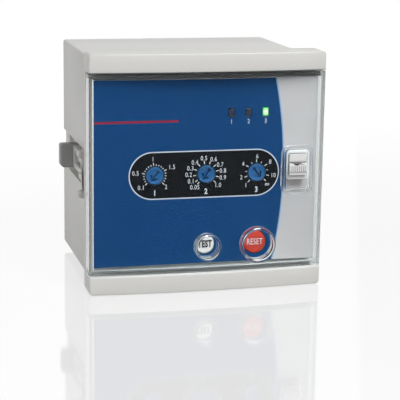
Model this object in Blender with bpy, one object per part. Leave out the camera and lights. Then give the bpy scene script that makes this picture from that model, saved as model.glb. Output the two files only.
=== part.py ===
# Earth fault protection relay, 96 mm square, for flush mounting in a panel.
#
# A moulded front frame with a top and a bottom bar carries a flat printed front
# plate with three setting dials, three indicator lamps and two push buttons. A
# clear cover, hinged at the left, closes over it between the two bars. Its collars
# leave the buttons in reach, and a sliding latch at the right holds it shut. The
# square case behind the frame goes through the panel, and two side clips press the
# panel against the frame. Inside are the circuit boards, the transformers and the
# output relays, and the rear panel holds two rows of screw terminals.
#
# Inside the script X runs to the right seen from the front, Y into the panel and Z
# up, in metres. Y is 0 at the frame's front edge and Z is 0 at its middle height.
# The root empty then sets the whole relay on the ground, centred on X and Y.

import math

import bmesh
import bpy
from mathutils import Matrix, Vector

# Clearances
SEAT_GAP = 0.0003
RUN_GAP = 0.0004
WELD_DISTANCE = 0.000002

# Front frame
FRAME_SIZE = 0.096
FRAME_DEPTH = 0.0115
FRAME_CORNER = 0.0016
FRAME_EDGE = 0.0006
FRONT_BOW = 0.0022
BAR_HEIGHT = 0.0075
FLANGE_THICKNESS = 0.0031
DECK_WALL = 0.0016
SPIGOT_WALL = 0.0016
SPIGOT_LENGTH = 0.0055
SEAT_LAND_HEIGHT = 0.0018
SEAT_LAND_RISE = 0.0003
SEAT_LAND_EDGE = 0.0005
SEAT_LAND_INSET = 0.0040

# Case
FLANGE_OVERHANG = 0.00275
CASE_LENGTH = 0.0682
CASE_WALL = 0.0020
CASE_CORNER = 0.0010
CASE_POST = 0.0070
CASE_POST_LENGTH = 0.0140

# Clear cover
COVER_PROUD = 0.0003
COVER_FRONT_WALL = 0.0018
COVER_SIDE_WALL = 0.0016
COVER_END_WALL = 0.0018
COVER_EDGE = 0.0010
HINGE_PIN_RADIUS = 0.0006
HINGE_PIN_LENGTH = 0.0015
COLLAR_PROUD = 0.0004
COLLAR_MOUTH = 0.0005
RESET_COLLAR_RADIUS = 0.0076
TEST_COLLAR_RADIUS = 0.0058
RESET_COLLAR_WALL = 0.0013
TEST_COLLAR_WALL = 0.0011

# Latch and its tub in the cover
LATCH_INSET = 0.0110
LATCH_Z = 0.0005
TUB_WIDTH = 0.0140
TUB_HEIGHT = 0.0203
TUB_WALL = 0.0014
TUB_CORNER = 0.0030
TUB_FLOOR_DEPTH = 0.0010
TUB_FLOOR_THICKNESS = 0.0006
THUMB_WIDTH = 0.0074
THUMB_TOP = 0.0066
THUMB_BOTTOM = -0.0029
THUMB_PROUD = 0.0012
LATCH_TRAVEL = 0.0040
LATCH_TONGUE_WIDTH = 0.0028
LATCH_TONGUE_HEIGHT = 0.0015
LATCH_TONGUE_RISE = 0.0005
LATCH_TONGUE_REACH = 0.0008

# Front plate and its printed overlay
FASCIA_DEPTH = 0.0040
OVERLAY_THICKNESS = 0.0003
PLATE_THICKNESS = 0.0021
PLATE_MARGIN = 0.0004
PLATE_CORNER = 0.0008
PLATE_HINGE_LIP = 0.0012
COLUMN_SHARE = 0.21875
DIAL_ROW = -0.0010
BUTTON_RISE = 0.0105
LAMP_DROP = 0.0169
LAMP_SHARE = 0.17865
LAMP_PITCH = 0.0071

# Dials and potentiometers
DIAL_RADIUS = 0.00355
DIAL_PROUD = 0.0004
DIAL_SHAFT_RADIUS = 0.0015
ARROW_DEPTH = 0.0012
ARROW_WIDTH = 0.0007
ARROW_LENGTH = 0.0050
ARROW_BARB = 0.0015
ARROW_TAIL_WIDTH = 0.0014
ARROW_TAIL_LENGTH = 0.0009
POT_SIZE = 0.0095
POT_BORE_DEPTH = 0.0038
DIAL_SWEEP = 285.0
DIAL_START = -142.5

# Push buttons and their switches
RESET_RADIUS = 0.00465
TEST_RADIUS = 0.00385
BUTTON_PROUD = 0.0002
BUTTON_EDGE = 0.0004
BUTTON_LIP = 0.0009
BUTTON_LIP_THICKNESS = 0.0009
BUTTON_STEM_RADIUS = 0.00175
BUTTON_TRAVEL = 0.0015
SWITCH_SIZE = 0.0072
SWITCH_HEIGHT = 0.0040

# Lamps
LAMP_WIDTH = 0.0020
LAMP_HEIGHT = 0.0030
LAMP_FOOT = 0.0006
LAMP_FOOT_LENGTH = 0.0020

# Circuit boards
BOARD_THICKNESS = 0.0016
FRONT_BOARD_SETBACK = 0.0028
FRONT_BOARD_MARGIN = 0.0008
PLATE_POST_RADIUS = 0.0025
PLATE_POST_SIDE_INSET = 0.0080
PLATE_POST_END_INSET = 0.0069
BOARD_SCREW_RADIUS = 0.0012
BOARD_SCREW_HEAD = 0.0023
BOARD_SCREW_HEAD_HEIGHT = 0.0016
BOARD_SCREW_LENGTH = 0.0060
MAIN_BOARD_RISE = 0.01225
BOARD_RIB = 0.0030
BOARD_RIB_HEIGHT = 0.0018
REAR_BOARD_SIDE_MARGIN = 0.00225
REAR_BOARD_TOP_MARGIN = 0.01015
HEADER_WIDTH = 0.0260
HEADER_HEIGHT = 0.0080
HEADER_DEPTH = 0.0060

# Components on the main board. A share is a part of the case's half width inside, or, from front
# to back, of the main board's free length.
CORE_WIDTH_SHARE = 0.740
CORE_HEIGHT = 0.0270
CORE_DEPTH_SHARE = 0.257
CORE_LIMB_SHARE = 0.1875
CORE_SIDE_SHARE = -0.497
CORE_BACK_SHARE = 0.621
COIL_OVERHANG_SHARE = 0.088
TOROID_RADIUS_SHARE = 0.1875
TOROID_HOLE_SHARE = 0.092
TOROID_HEIGHT = 0.0100
TOROID_SIDE_SHARE = -0.520
TOROID_BACK_SHARE = 0.202
OUTPUT_RELAY_WIDTH_SHARE = 0.439
OUTPUT_RELAY_DEPTH_SHARE = 0.285
OUTPUT_RELAY_HEIGHT = 0.0150
OUTPUT_RELAY_SIDE_SHARE = 0.462
OUTPUT_RELAY_BACK_SHARE = 0.805
OUTPUT_RELAY_PITCH_SHARE = 0.322
CAPACITOR_RADIUS_SHARE = 0.1156
CAPACITOR_HEIGHT = 0.0160
CAPACITOR_SIDE_SHARE = 0.601
CAPACITOR_BACK_SHARE = 0.180
CAPACITOR_PITCH_SHARE = 0.2775
CHIP_LENGTH = 0.0180
CHIP_WIDTH = 0.0075
CHIP_HEIGHT = 0.0030
CHIP_LEAD_PITCH = 0.00254
CHIP_SIDE_SHARE = 0.104
CHIP_HEADER_GAP = 0.0021

# Rear panel, terminal blocks, screws
REAR_PANEL_THICKNESS = 0.0020
REAR_PANEL_INSET = 0.0008
CASE_SCREW_RADIUS = 0.0011
CASE_SCREW_HEAD = 0.0025
CASE_SCREW_HEAD_HEIGHT = 0.0018
CASE_SCREW_LENGTH = 0.0080
TERMINALS_PER_BLOCK = 6
TERMINAL_PITCH = 0.0096
BLOCK_SIDE_SHARE = 0.497
BLOCK_WIDTH = 0.0160
BLOCK_REACH = 0.0085
BLOCK_END = 0.0022
BLOCK_LIP = 0.0016
BLOCK_LIP_THICKNESS = 0.0024
TERMINAL_SCREW_HEAD = 0.0023
TERMINAL_SCREW_HEAD_HEIGHT = 0.0016
TERMINAL_SCREW_RADIUS = 0.0012
TERMINAL_SCREW_INSET = 0.0006
WIRE_ENTRY = 0.0036
WIRE_ENTRY_PAST_SCREW = 0.0010
CONTACT_THICKNESS = 0.0008

# Side clips and their channels in the case
CLIP_LEVEL = -0.0019
CHANNEL_HEIGHT = 0.0154
CHANNEL_DEPTH = 0.0030
CHANNEL_INSET = 0.0078
CHANNEL_END_WALL = 0.0100
CHANNEL_SHALLOW = 0.0010
RATCHET_SLOT_HEIGHT = 0.0036
RATCHET_SLOT_INSET = 0.0104
RATCHET_SLOT_COVER = 0.0040
CLIP_ARM_SPACING = 0.0070
CLIP_ARM_HEIGHT = 0.0022
CLIP_ARM_THICKNESS = 0.0024
CLIP_FORWARD_TRAVEL = 0.0020
CLIP_REAR_TRAVEL = 0.0140
CLIP_PANEL_ROOM = 0.0033
CLIP_FOOT_DEPTH = 0.0048
CLIP_FOOT_HEIGHT = 0.0196
CLIP_FOOT_THICKNESS = 0.0024
CLIP_FOOT_ARCH = 0.0022
CLIP_PAD_HEIGHT = 0.0030
CLIP_PAD_EXTRA = 0.0006
GRIP_DEPTH = 0.0048
GRIP_HEIGHT = 0.0102
GRIP_REACH = 0.0052
GRIP_CHAMFER = 0.0012

# Facets of round forms
ROUND_STEPS = 20
FINE_ROUND_STEPS = 28
SCREW_STEPS = 10
FILLET_STEPS = 3
BOW_STEPS = 12

# Places worked out from the dimensions above
HALF_FRAME = FRAME_SIZE / 2
CASE_SIZE = FRAME_SIZE - 2 * FLANGE_OVERHANG
BAR_INNER = HALF_FRAME - BAR_HEIGHT
FLANGE_FRONT = FRAME_DEPTH - FLANGE_THICKNESS
LATCH_X = HALF_FRAME - LATCH_INSET
COLUMN_PITCH = COLUMN_SHARE * FRAME_SIZE
LAMP_MIDDLE = LAMP_SHARE * FRAME_SIZE
BUTTON_ROW = BUTTON_RISE - BAR_INNER
LAMP_ROW = BAR_INNER - LAMP_DROP
BOW_RADIUS = (HALF_FRAME ** 2 + FRONT_BOW ** 2) / (2 * FRONT_BOW)

COVER_REAR = FLANGE_FRONT - RUN_GAP
COVER_HALF_HEIGHT = BAR_INNER - RUN_GAP
COVER_INNER_X = HALF_FRAME - COVER_SIDE_WALL
COVER_INNER_Z = COVER_HALF_HEIGHT - COVER_END_WALL
COVER_FRONT = -COVER_PROUD
COVER_LINING = COVER_FRONT + COVER_FRONT_WALL
HINGE_X = -COVER_INNER_X
HINGE_Y = COVER_REAR - COVER_SIDE_WALL

PLATE_FRONT = FASCIA_DEPTH + OVERLAY_THICKNESS + SEAT_GAP
PLATE_REAR = PLATE_FRONT + PLATE_THICKNESS
PLATE_HALF_X = COVER_INNER_X - PLATE_MARGIN
PLATE_HALF_Z = COVER_INNER_Z - PLATE_MARGIN
DECK_FRONT = PLATE_REAR + SEAT_GAP
DECK_HALF_X = -HINGE_X - COVER_SIDE_WALL - RUN_GAP
DECK_HALF_Z = PLATE_HALF_Z
PLATE_POST_X = PLATE_HALF_X - PLATE_POST_SIDE_INSET
PLATE_POST_Z = PLATE_HALF_Z - PLATE_POST_END_INSET
COLLAR_REAR = FASCIA_DEPTH - RUN_GAP

HALF_CASE = CASE_SIZE / 2
CASE_INNER = HALF_CASE - CASE_WALL
CASE_FRONT = FRAME_DEPTH + SEAT_GAP
CASE_REAR = CASE_FRONT + CASE_LENGTH
SPIGOT_OUTER = CASE_INNER - SEAT_GAP
SPIGOT_INNER = SPIGOT_OUTER - SPIGOT_WALL

BOARD_FRONT = FRAME_DEPTH + FRONT_BOARD_SETBACK
FRONT_BOARD_HALF_Z = DECK_HALF_Z - DECK_WALL - FRONT_BOARD_MARGIN
BOARD_REAR = BOARD_FRONT + BOARD_THICKNESS
PARTS_SEAT = BOARD_FRONT - SEAT_GAP
MAIN_BOARD_LEVEL = MAIN_BOARD_RISE - CASE_INNER
MAIN_BOARD_TOP = MAIN_BOARD_LEVEL + BOARD_THICKNESS / 2
MAIN_BOARD_BOTTOM = MAIN_BOARD_LEVEL - BOARD_THICKNESS / 2
MAIN_SEAT = MAIN_BOARD_TOP + SEAT_GAP

PANEL_REAR = CASE_REAR - REAR_PANEL_INSET
PANEL_FRONT = PANEL_REAR - REAR_PANEL_THICKNESS
BLOCK_LIP_REAR = PANEL_FRONT - SEAT_GAP
BLOCK_LIP_FRONT = BLOCK_LIP_REAR - BLOCK_LIP_THICKNESS
BLOCK_REAR = CASE_REAR + BLOCK_REACH
BLOCK_HALF_Z = TERMINALS_PER_BLOCK * TERMINAL_PITCH / 2 + BLOCK_END
REAR_BOARD_REAR = BLOCK_LIP_FRONT - SEAT_GAP
REAR_BOARD_FRONT = REAR_BOARD_REAR - BOARD_THICKNESS
MAIN_BOARD_FRONT = FRAME_DEPTH + SPIGOT_LENGTH + 4 * SEAT_GAP
REAR_BOARD_HALF_X = CASE_INNER - CASE_POST - REAR_BOARD_SIDE_MARGIN
REAR_BOARD_TOP = CASE_INNER - REAR_BOARD_TOP_MARGIN
HEADER_REAR = BOARD_REAR + SEAT_GAP + HEADER_DEPTH
PARTS_ROOM = REAR_BOARD_FRONT - MAIN_BOARD_FRONT

CORE_WIDTH = CORE_WIDTH_SHARE * CASE_INNER
CORE_DEPTH = CORE_DEPTH_SHARE * PARTS_ROOM
CORE_LIMB = CORE_LIMB_SHARE * CORE_WIDTH
CORE_X = CORE_SIDE_SHARE * CASE_INNER
CORE_Y = MAIN_BOARD_FRONT + CORE_BACK_SHARE * PARTS_ROOM
COIL_OVERHANG = COIL_OVERHANG_SHARE * PARTS_ROOM
TOROID_RADIUS = TOROID_RADIUS_SHARE * PARTS_ROOM
TOROID_HOLE = TOROID_HOLE_SHARE * PARTS_ROOM
TOROID_X = TOROID_SIDE_SHARE * CASE_INNER
TOROID_Y = MAIN_BOARD_FRONT + TOROID_BACK_SHARE * PARTS_ROOM
OUTPUT_RELAY_WIDTH = OUTPUT_RELAY_WIDTH_SHARE * CASE_INNER
OUTPUT_RELAY_DEPTH = OUTPUT_RELAY_DEPTH_SHARE * PARTS_ROOM
OUTPUT_RELAY_PITCH = OUTPUT_RELAY_PITCH_SHARE * PARTS_ROOM
OUTPUT_RELAY_X = OUTPUT_RELAY_SIDE_SHARE * CASE_INNER
OUTPUT_RELAY_Y = MAIN_BOARD_FRONT + OUTPUT_RELAY_BACK_SHARE * PARTS_ROOM
CAPACITOR_RADIUS = CAPACITOR_RADIUS_SHARE * CASE_INNER
CAPACITOR_PITCH = CAPACITOR_PITCH_SHARE * CASE_INNER
CAPACITOR_X = CAPACITOR_SIDE_SHARE * CASE_INNER
CAPACITOR_Y = MAIN_BOARD_FRONT + CAPACITOR_BACK_SHARE * PARTS_ROOM
CHIP_X = CHIP_SIDE_SHARE * CASE_INNER
CHIP_Y = HEADER_REAR + CHIP_HEADER_GAP + CHIP_LENGTH / 2
BLOCK_X = BLOCK_SIDE_SHARE * CASE_INNER

CHANNEL_START = CASE_FRONT + CHANNEL_INSET
CHANNEL_STEP = CASE_REAR - CHANNEL_END_WALL
CLIP_REAR = CHANNEL_STEP - CLIP_REAR_TRAVEL
CLIP_FOOT_FRONT = FRAME_DEPTH + CLIP_PANEL_ROOM
RATCHET_SLOT_START = CHANNEL_START + RATCHET_SLOT_INSET
RATCHET_SLOT_END = CLIP_REAR - RATCHET_SLOT_COVER

FRONT_REACH = -COVER_PROUD - FRONT_BOW - COLLAR_PROUD
REAR_REACH = BLOCK_REAR


# Drawing helpers

def front_bow(x):
    """How far the bowed front stands ahead of its side edges at x."""
    return BOW_RADIUS - FRONT_BOW - math.sqrt(BOW_RADIUS ** 2 - x ** 2)


def new_solid(mesh_data):
    mesh_data.normal_update()
    mesh = bpy.data.meshes.new("solid")
    mesh_data.to_mesh(mesh)
    mesh_data.free()
    solid = bpy.data.objects.new("solid", mesh)
    bpy.context.scene.collection.objects.link(solid)
    return solid


def block(x_range, y_range, z_range):
    shape = bmesh.new()
    size = Vector((x_range[1] - x_range[0], y_range[1] - y_range[0], z_range[1] - z_range[0]))
    middle = Vector((sum(x_range) / 2, sum(y_range) / 2, sum(z_range) / 2))
    bmesh.ops.create_cube(shape, size=1.0, matrix=Matrix.Translation(middle) @ Matrix.Diagonal(size).to_4x4())
    return new_solid(shape)


def bar_from_outline(points, axis, start, end):
    """Extrudes a closed outline along X, Y or Z; the outline gives the other two, in order."""
    places = {
        "x": lambda p, t: (t, p[0], p[1]),
        "y": lambda p, t: (p[0], t, p[1]),
        "z": lambda p, t: (p[0], p[1], t),
    }[axis]
    shape = bmesh.new()
    face = shape.faces.new([shape.verts.new(places(point, start)) for point in points])
    grown = bmesh.ops.extrude_face_region(shape, geom=[face])
    moved = [item for item in grown["geom"] if isinstance(item, bmesh.types.BMVert)]
    step = Vector(places((0, 0), end)) - Vector(places((0, 0), start))
    bmesh.ops.translate(shape, verts=moved, vec=step)
    bmesh.ops.recalc_face_normals(shape, faces=shape.faces)
    return new_solid(shape)


def rounded_rectangle(width, height, radius, centre=(0.0, 0.0)):
    """Corner points of a rectangle with round corners."""
    points = []
    for turn, (side, top) in enumerate(((1, 1), (-1, 1), (-1, -1), (1, -1))):
        middle = (centre[0] + side * (width / 2 - radius), centre[1] + top * (height / 2 - radius))
        for step in range(FILLET_STEPS + 1):
            angle = math.radians(90) * (turn + step / FILLET_STEPS)
            points.append((middle[0] + radius * math.cos(angle), middle[1] + radius * math.sin(angle)))
    return points


def round_bar(axis, centre, radius, start, end, steps=ROUND_STEPS):
    circle = [
        (centre[0] + radius * math.cos(math.tau * step / steps),
         centre[1] + radius * math.sin(math.tau * step / steps))
        for step in range(steps)
    ]
    return bar_from_outline(circle, axis, start, end)


def turned(profile, centre, steps=ROUND_STEPS):
    """Turns a profile of (radius, y) points, front to rear, about a Y axis through centre (x, z)."""
    shape = bmesh.new()
    line = [shape.verts.new((centre[0] + radius, y, centre[1])) for radius, y in profile]
    edges = [shape.edges.new(pair) for pair in zip(line, line[1:])]
    bmesh.ops.spin(
        shape, geom=line + edges, cent=(centre[0], 0, centre[1]), axis=(0, 1, 0),
        angle=math.tau, steps=steps, use_merge=True,
    )
    bmesh.ops.remove_doubles(shape, verts=shape.verts, dist=WELD_DISTANCE)
    bmesh.ops.recalc_face_normals(shape, faces=shape.faces)
    return new_solid(shape)


def bowed_block(half_x, z_range, front, rear, edge, hinge_round=0.0):
    """A block whose front follows the frame's bow, with the front's edges rounded."""
    fillet = [
        (edge * (1 - math.cos(math.radians(90) * step / FILLET_STEPS)),
         edge * (1 - math.sin(math.radians(90) * step / FILLET_STEPS)))
        for step in range(FILLET_STEPS + 1)
    ]
    inner = half_x - edge
    columns = [(-half_x + inset, setback) for inset, setback in fillet]
    columns += [(-inner + 2 * inner * step / BOW_STEPS, 0.0) for step in range(1, BOW_STEPS)]
    columns += [(half_x - inset, setback) for inset, setback in reversed(fillet)]
    rows = [(z_range[0] + inset, setback) for inset, setback in fillet]
    rows += [(z_range[1] - inset, setback) for inset, setback in reversed(fillet)]

    shape = bmesh.new()
    grid = [
        [shape.verts.new((x, front + front_bow(x) + max(x_setback, z_setback), z)) for x, x_setback in columns]
        for z, z_setback in rows
    ]
    for lower, upper in zip(grid, grid[1:]):
        for step in range(len(columns) - 1):
            shape.faces.new((lower[step], lower[step + 1], upper[step + 1], upper[step]))
    rear_corners = [
        shape.verts.new((side * half_x, rear, z)) for z in z_range for side in (-1, 1)
    ]
    low_left, low_right, high_left, high_right = rear_corners
    shape.faces.new([row[0] for row in grid] + [high_left, low_left])
    shape.faces.new([row[-1] for row in reversed(grid)] + [low_right, high_right])
    shape.faces.new(list(reversed(grid[0])) + [low_left, low_right])
    shape.faces.new(grid[-1] + [high_right, high_left])
    shape.faces.new((low_left, high_left, high_right, low_right))
    bmesh.ops.recalc_face_normals(shape, faces=shape.faces)
    if hinge_round:
        hinge_edge = shape.edges.get((low_left, high_left))
        bmesh.ops.bevel(
            shape, geom=[hinge_edge], offset=hinge_round, segments=2 * FILLET_STEPS,
            profile=0.5, affect="EDGES",
        )
    return new_solid(shape)


def apply_modifiers(body):
    graph = bpy.context.evaluated_depsgraph_get()
    result = bpy.data.meshes.new_from_object(body.evaluated_get(graph))
    shape = bmesh.new()
    shape.from_mesh(result)
    bmesh.ops.remove_doubles(shape, verts=shape.verts, dist=WELD_DISTANCE)
    bmesh.ops.dissolve_degenerate(shape, edges=shape.edges, dist=WELD_DISTANCE)
    shape.to_mesh(result)
    shape.free()
    body.modifiers.clear()
    spare = body.data
    body.data = result
    bpy.data.meshes.remove(spare)


def combine(body, operation, tools):
    """Cuts, joins or intersects body with each tool, and keeps only the result."""
    for tool in tools:
        step = body.modifiers.new(operation, "BOOLEAN")
        step.operation = operation
        step.solver = "EXACT"
        step.object = tool
        apply_modifiers(body)
        spare = tool.data
        bpy.data.objects.remove(tool)
        bpy.data.meshes.remove(spare)
    return body


def cut(body, *tools):
    return combine(body, "DIFFERENCE", tools)


def fuse(body, *tools):
    return combine(body, "UNION", tools)


def keep_common(body, *tools):
    return combine(body, "INTERSECT", tools)


def mirrored(solid):
    """The same solid on the other side of the relay, as a mesh of its own."""
    shape = bmesh.new()
    shape.from_mesh(solid.data)
    bmesh.ops.scale(shape, vec=(-1, 1, 1), verts=shape.verts)
    bmesh.ops.reverse_faces(shape, faces=shape.faces)
    return new_solid(shape)


def bevel_edges(body, width):
    step = body.modifiers.new("edges", "BEVEL")
    step.width = width
    step.segments = 1
    step.limit_method = "ANGLE"
    apply_modifiers(body)
    return body


def name_piece(solid, name, finish, parent):
    """Names a solid, gives it its material and hangs it on its parent empty, in place."""
    solid.name = name
    solid.data.name = name
    solid.data.materials.clear()
    solid.data.materials.append(finish)
    solid.data.shade_smooth()
    solid.data.set_sharp_from_angle(angle=math.radians(30))
    solid.parent = parent
    if parent is not ROOT:
        solid.location = -parent.location
    return solid


def add_pivot(name, place, parent):
    pivot = bpy.data.objects.new(name, None)
    pivot.empty_display_size = 0.005
    bpy.context.scene.collection.objects.link(pivot)
    pivot.parent = parent
    pivot.location = Vector(place) - (parent.location if parent is not ROOT else Vector())
    return pivot


def finish(name, colour, roughness, metallic=0.0, transmission=0.0):
    material = bpy.data.materials.new(name)
    material.use_nodes = True
    shader = material.node_tree.nodes["Principled BSDF"]
    shader.inputs["Base Color"].default_value = (*colour, 1.0)
    shader.inputs["Roughness"].default_value = roughness
    shader.inputs["Metallic"].default_value = metallic
    shader.inputs["Transmission Weight"].default_value = transmission
    material.diffuse_color = (*colour, 1.0)
    return material


def remove_old_objects():
    for item in list(bpy.data.objects):
        bpy.data.objects.remove(item)


remove_old_objects()
ROOT = bpy.data.objects.new("relay", None)
ROOT.location = (0.0, -(FRONT_REACH + REAR_REACH) / 2, HALF_FRAME)
bpy.context.scene.collection.objects.link(ROOT)

GREY_ABS = finish("grey_abs", (0.60, 0.60, 0.57), 0.5)
PLATE_GREY = finish("front_plate_grey", (0.52, 0.53, 0.54), 0.5)
FASCIA_FILM = finish("fascia_film", (0.014, 0.07, 0.20), 0.35)
CLEAR_PC = finish("clear_polycarbonate", (0.9, 0.93, 0.95), 0.05, transmission=0.9)
DIAL_BLUE = finish("dial_blue", (0.01, 0.14, 0.43), 0.4)
RED_ABS = finish("red_abs", (0.60, 0.045, 0.03), 0.35)
WHITE_ABS = finish("white_abs", (0.80, 0.80, 0.78), 0.35)
LAMP_DARK = finish("lamp_dark", (0.012, 0.012, 0.03), 0.3)
LAMP_GREEN = finish("lamp_green", (0.25, 0.80, 0.22), 0.3)
CLIP_GREY = finish("clip_grey", (0.16, 0.165, 0.16), 0.5)
BLACK_PLASTIC = finish("black_plastic", (0.02, 0.02, 0.022), 0.45)
BOARD_GREEN = finish("board_green", (0.02, 0.12, 0.05), 0.4)
STEEL = finish("zinc_plated_steel", (0.62, 0.62, 0.60), 0.35, 1.0)
COPPER = finish("enamelled_copper", (0.45, 0.14, 0.05), 0.35, 0.8)
SILICON_STEEL = finish("silicon_steel", (0.22, 0.22, 0.23), 0.45, 0.9)
TAPE_YELLOW = finish("winding_tape", (0.65, 0.45, 0.05), 0.5)


# Front frame

def square_tube(outer, inner, start, end):
    """A square tube along Y; outer and inner are half sizes in X and Z."""
    tube = block((-outer[0], outer[0]), (start, end), (-outer[1], outer[1]))
    bore = block((-inner[0], inner[0]), (start - SEAT_GAP, end + SEAT_GAP), (-inner[1], inner[1]))
    return cut(tube, bore)


def front_frame():
    """Flange, bowed bars, deck for the front plate, spigot into the case and lands for the panel."""
    deck_inner = (DECK_HALF_X - DECK_WALL, DECK_HALF_Z - DECK_WALL)
    frame = block((-HALF_FRAME, HALF_FRAME), (FLANGE_FRONT, FRAME_DEPTH), (-HALF_FRAME, HALF_FRAME))
    bars = [
        bowed_block(HALF_FRAME, z_range, 0.0, FLANGE_FRONT + FLANGE_THICKNESS / 2, FRAME_EDGE)
        for z_range in ((BAR_INNER, HALF_FRAME), (-HALF_FRAME, -BAR_INNER))
    ]
    fuse(frame, *bars)
    corners = rounded_rectangle(FRAME_SIZE, FRAME_SIZE, FRAME_CORNER)
    keep_common(frame, bar_from_outline(corners, "y", FRONT_REACH - FRAME_DEPTH, 2 * FRAME_DEPTH))
    deck = square_tube(
        (DECK_HALF_X, DECK_HALF_Z), deck_inner, DECK_FRONT, FLANGE_FRONT + FLANGE_THICKNESS / 2)
    spigot = square_tube(
        (SPIGOT_OUTER, SPIGOT_OUTER), (SPIGOT_INNER, SPIGOT_INNER),
        FRAME_DEPTH - FLANGE_THICKNESS / 2, FRAME_DEPTH + SPIGOT_LENGTH)
    land_x, land_z = HALF_FRAME - SEAT_LAND_INSET, HALF_FRAME - SEAT_LAND_EDGE
    lands = [
        block((-land_x, land_x), (FLANGE_FRONT + FLANGE_THICKNESS / 2, FRAME_DEPTH + SEAT_LAND_RISE),
              sorted((side * (land_z - SEAT_LAND_HEIGHT), side * land_z)))
        for side in (-1, 1)
    ]
    fuse(frame, deck, spigot, *lands)
    window = block(
        (-SPIGOT_INNER, SPIGOT_INNER), (FLANGE_FRONT - SEAT_GAP, FRAME_DEPTH + SPIGOT_LENGTH),
        (-deck_inner[1], deck_inner[1]))
    hole_radius = HINGE_PIN_RADIUS + SEAT_GAP
    hole_depth = RUN_GAP + HINGE_PIN_LENGTH + SEAT_GAP
    holes = [
        round_bar("z", (HINGE_X, HINGE_Y), hole_radius, side * (BAR_INNER - hole_depth),
                  side * (BAR_INNER + hole_depth), SCREW_STEPS)
        for side in (-1, 1)
    ]
    cut(frame, window, *holes)
    return frame


name_piece(front_frame(), "front_frame", GREY_ABS, ROOT)


# Case with the clip channels, the board ribs and the screw posts

def clip_channel():
    """Tools for the channel in the left wall: inner thickening, then the cuts."""
    half = CHANNEL_HEIGHT / 2
    low, high = CLIP_LEVEL - half, CLIP_LEVEL + half
    floor = -HALF_CASE + CHANNEL_DEPTH
    thicker = block(
        (-CASE_INNER - CASE_WALL / 2, floor + CASE_WALL),
        (CHANNEL_START - CASE_WALL, CHANNEL_STEP + CASE_WALL), (low - CASE_WALL, high + CASE_WALL))
    outside = -HALF_CASE - CHANNEL_DEPTH
    deep = block((outside, floor), (CHANNEL_START, CHANNEL_STEP), (low, high))
    shallow = block(
        (outside, -HALF_CASE + CHANNEL_SHALLOW), (CHANNEL_STEP - CHANNEL_SHALLOW, CASE_REAR + CASE_WALL),
        (low, high))
    slot = block(
        (outside, floor + 2 * CASE_WALL), (RATCHET_SLOT_START, RATCHET_SLOT_END),
        (CLIP_LEVEL - RATCHET_SLOT_HEIGHT / 2, CLIP_LEVEL + RATCHET_SLOT_HEIGHT / 2))
    return thicker, [deep, shallow, slot]


def rear_case():
    corners = rounded_rectangle(CASE_SIZE, CASE_SIZE, CASE_CORNER)
    case = bar_from_outline(corners, "y", CASE_FRONT, CASE_REAR)
    bore = block(
        (-CASE_INNER, CASE_INNER), (CASE_FRONT - CASE_WALL, CASE_REAR + CASE_WALL),
        (-CASE_INNER, CASE_INNER))
    cut(case, bore)

    thicker, cuts = clip_channel()
    opposite = mirrored(thicker)
    post_rear = PANEL_FRONT - SEAT_GAP
    wall_overlap = CASE_WALL / 2
    additions = [thicker, opposite]
    for side in (-1, 1):
        for top in (-1, 1):
            inner, outer = CASE_INNER - CASE_POST, CASE_INNER + wall_overlap
            additions.append(block(
                sorted((side * inner, side * outer)), (post_rear - CASE_POST_LENGTH, post_rear),
                sorted((top * inner, top * outer))))
        for level in (MAIN_BOARD_TOP + SEAT_GAP, MAIN_BOARD_BOTTOM - SEAT_GAP - BOARD_RIB_HEIGHT):
            reach = sorted((side * (CASE_INNER - BOARD_RIB), side * (CASE_INNER + wall_overlap)))
            additions.append(block(
                reach, (MAIN_BOARD_FRONT, post_rear - CASE_POST_LENGTH - SEAT_GAP),
                (level, level + BOARD_RIB_HEIGHT)))
    fuse(case, *additions)

    screw_holes = [
        round_bar("y", place, CASE_SCREW_RADIUS + SEAT_GAP,
                  post_rear - CASE_SCREW_LENGTH, post_rear + CASE_WALL, SCREW_STEPS)
        for place in case_screw_places()
    ]
    cut(case, *cuts, *[mirrored(tool) for tool in cuts], *screw_holes)
    return case


def case_screw_places():
    offset = CASE_INNER - CASE_POST / 2
    return [(side * offset, top * offset) for side in (-1, 1) for top in (-1, 1)]


name_piece(rear_case(), "rear_case", GREY_ABS, ROOT)


# Front plate with its posts, and the printed overlay on it

def column(step):
    return step * COLUMN_PITCH


DIALS = {"1": column(-1), "2": column(0), "3": column(1)}
BUTTONS = {"reset": (column(1), RESET_RADIUS), "test": (column(0), TEST_RADIUS)}
LAMPS = [LAMP_MIDDLE + step * LAMP_PITCH for step in (-1, 0, 1)]


def fascia_openings(start, end):
    """Cutting tools for the dials, buttons, lamps and latch tongue."""
    tools = [
        round_bar("y", (x, DIAL_ROW), DIAL_RADIUS + SEAT_GAP, start, end) for x in DIALS.values()
    ]
    tools += [
        round_bar("y", (x, BUTTON_ROW), radius + SEAT_GAP, start, end, FINE_ROUND_STEPS)
        for x, radius in BUTTONS.values()
    ]
    half_width, half_height = LAMP_WIDTH / 2 + SEAT_GAP, LAMP_HEIGHT / 2 + SEAT_GAP
    tools += [
        block((x - half_width, x + half_width), (start, end), (LAMP_ROW - half_height, LAMP_ROW + half_height))
        for x in LAMPS
    ]
    slot_half = LATCH_TONGUE_WIDTH / 2 + RUN_GAP
    tongue_bottom = LATCH_Z + LATCH_TONGUE_RISE
    tools.append(block(
        (LATCH_X - slot_half, LATCH_X + slot_half), (start, end),
        (tongue_bottom - LATCH_TRAVEL - RUN_GAP, tongue_bottom + LATCH_TONGUE_HEIGHT + RUN_GAP)))
    return tools


def plate_post_places():
    return [(side * PLATE_POST_X, top * PLATE_POST_Z) for side in (-1, 1) for top in (-1, 1)]


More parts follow.
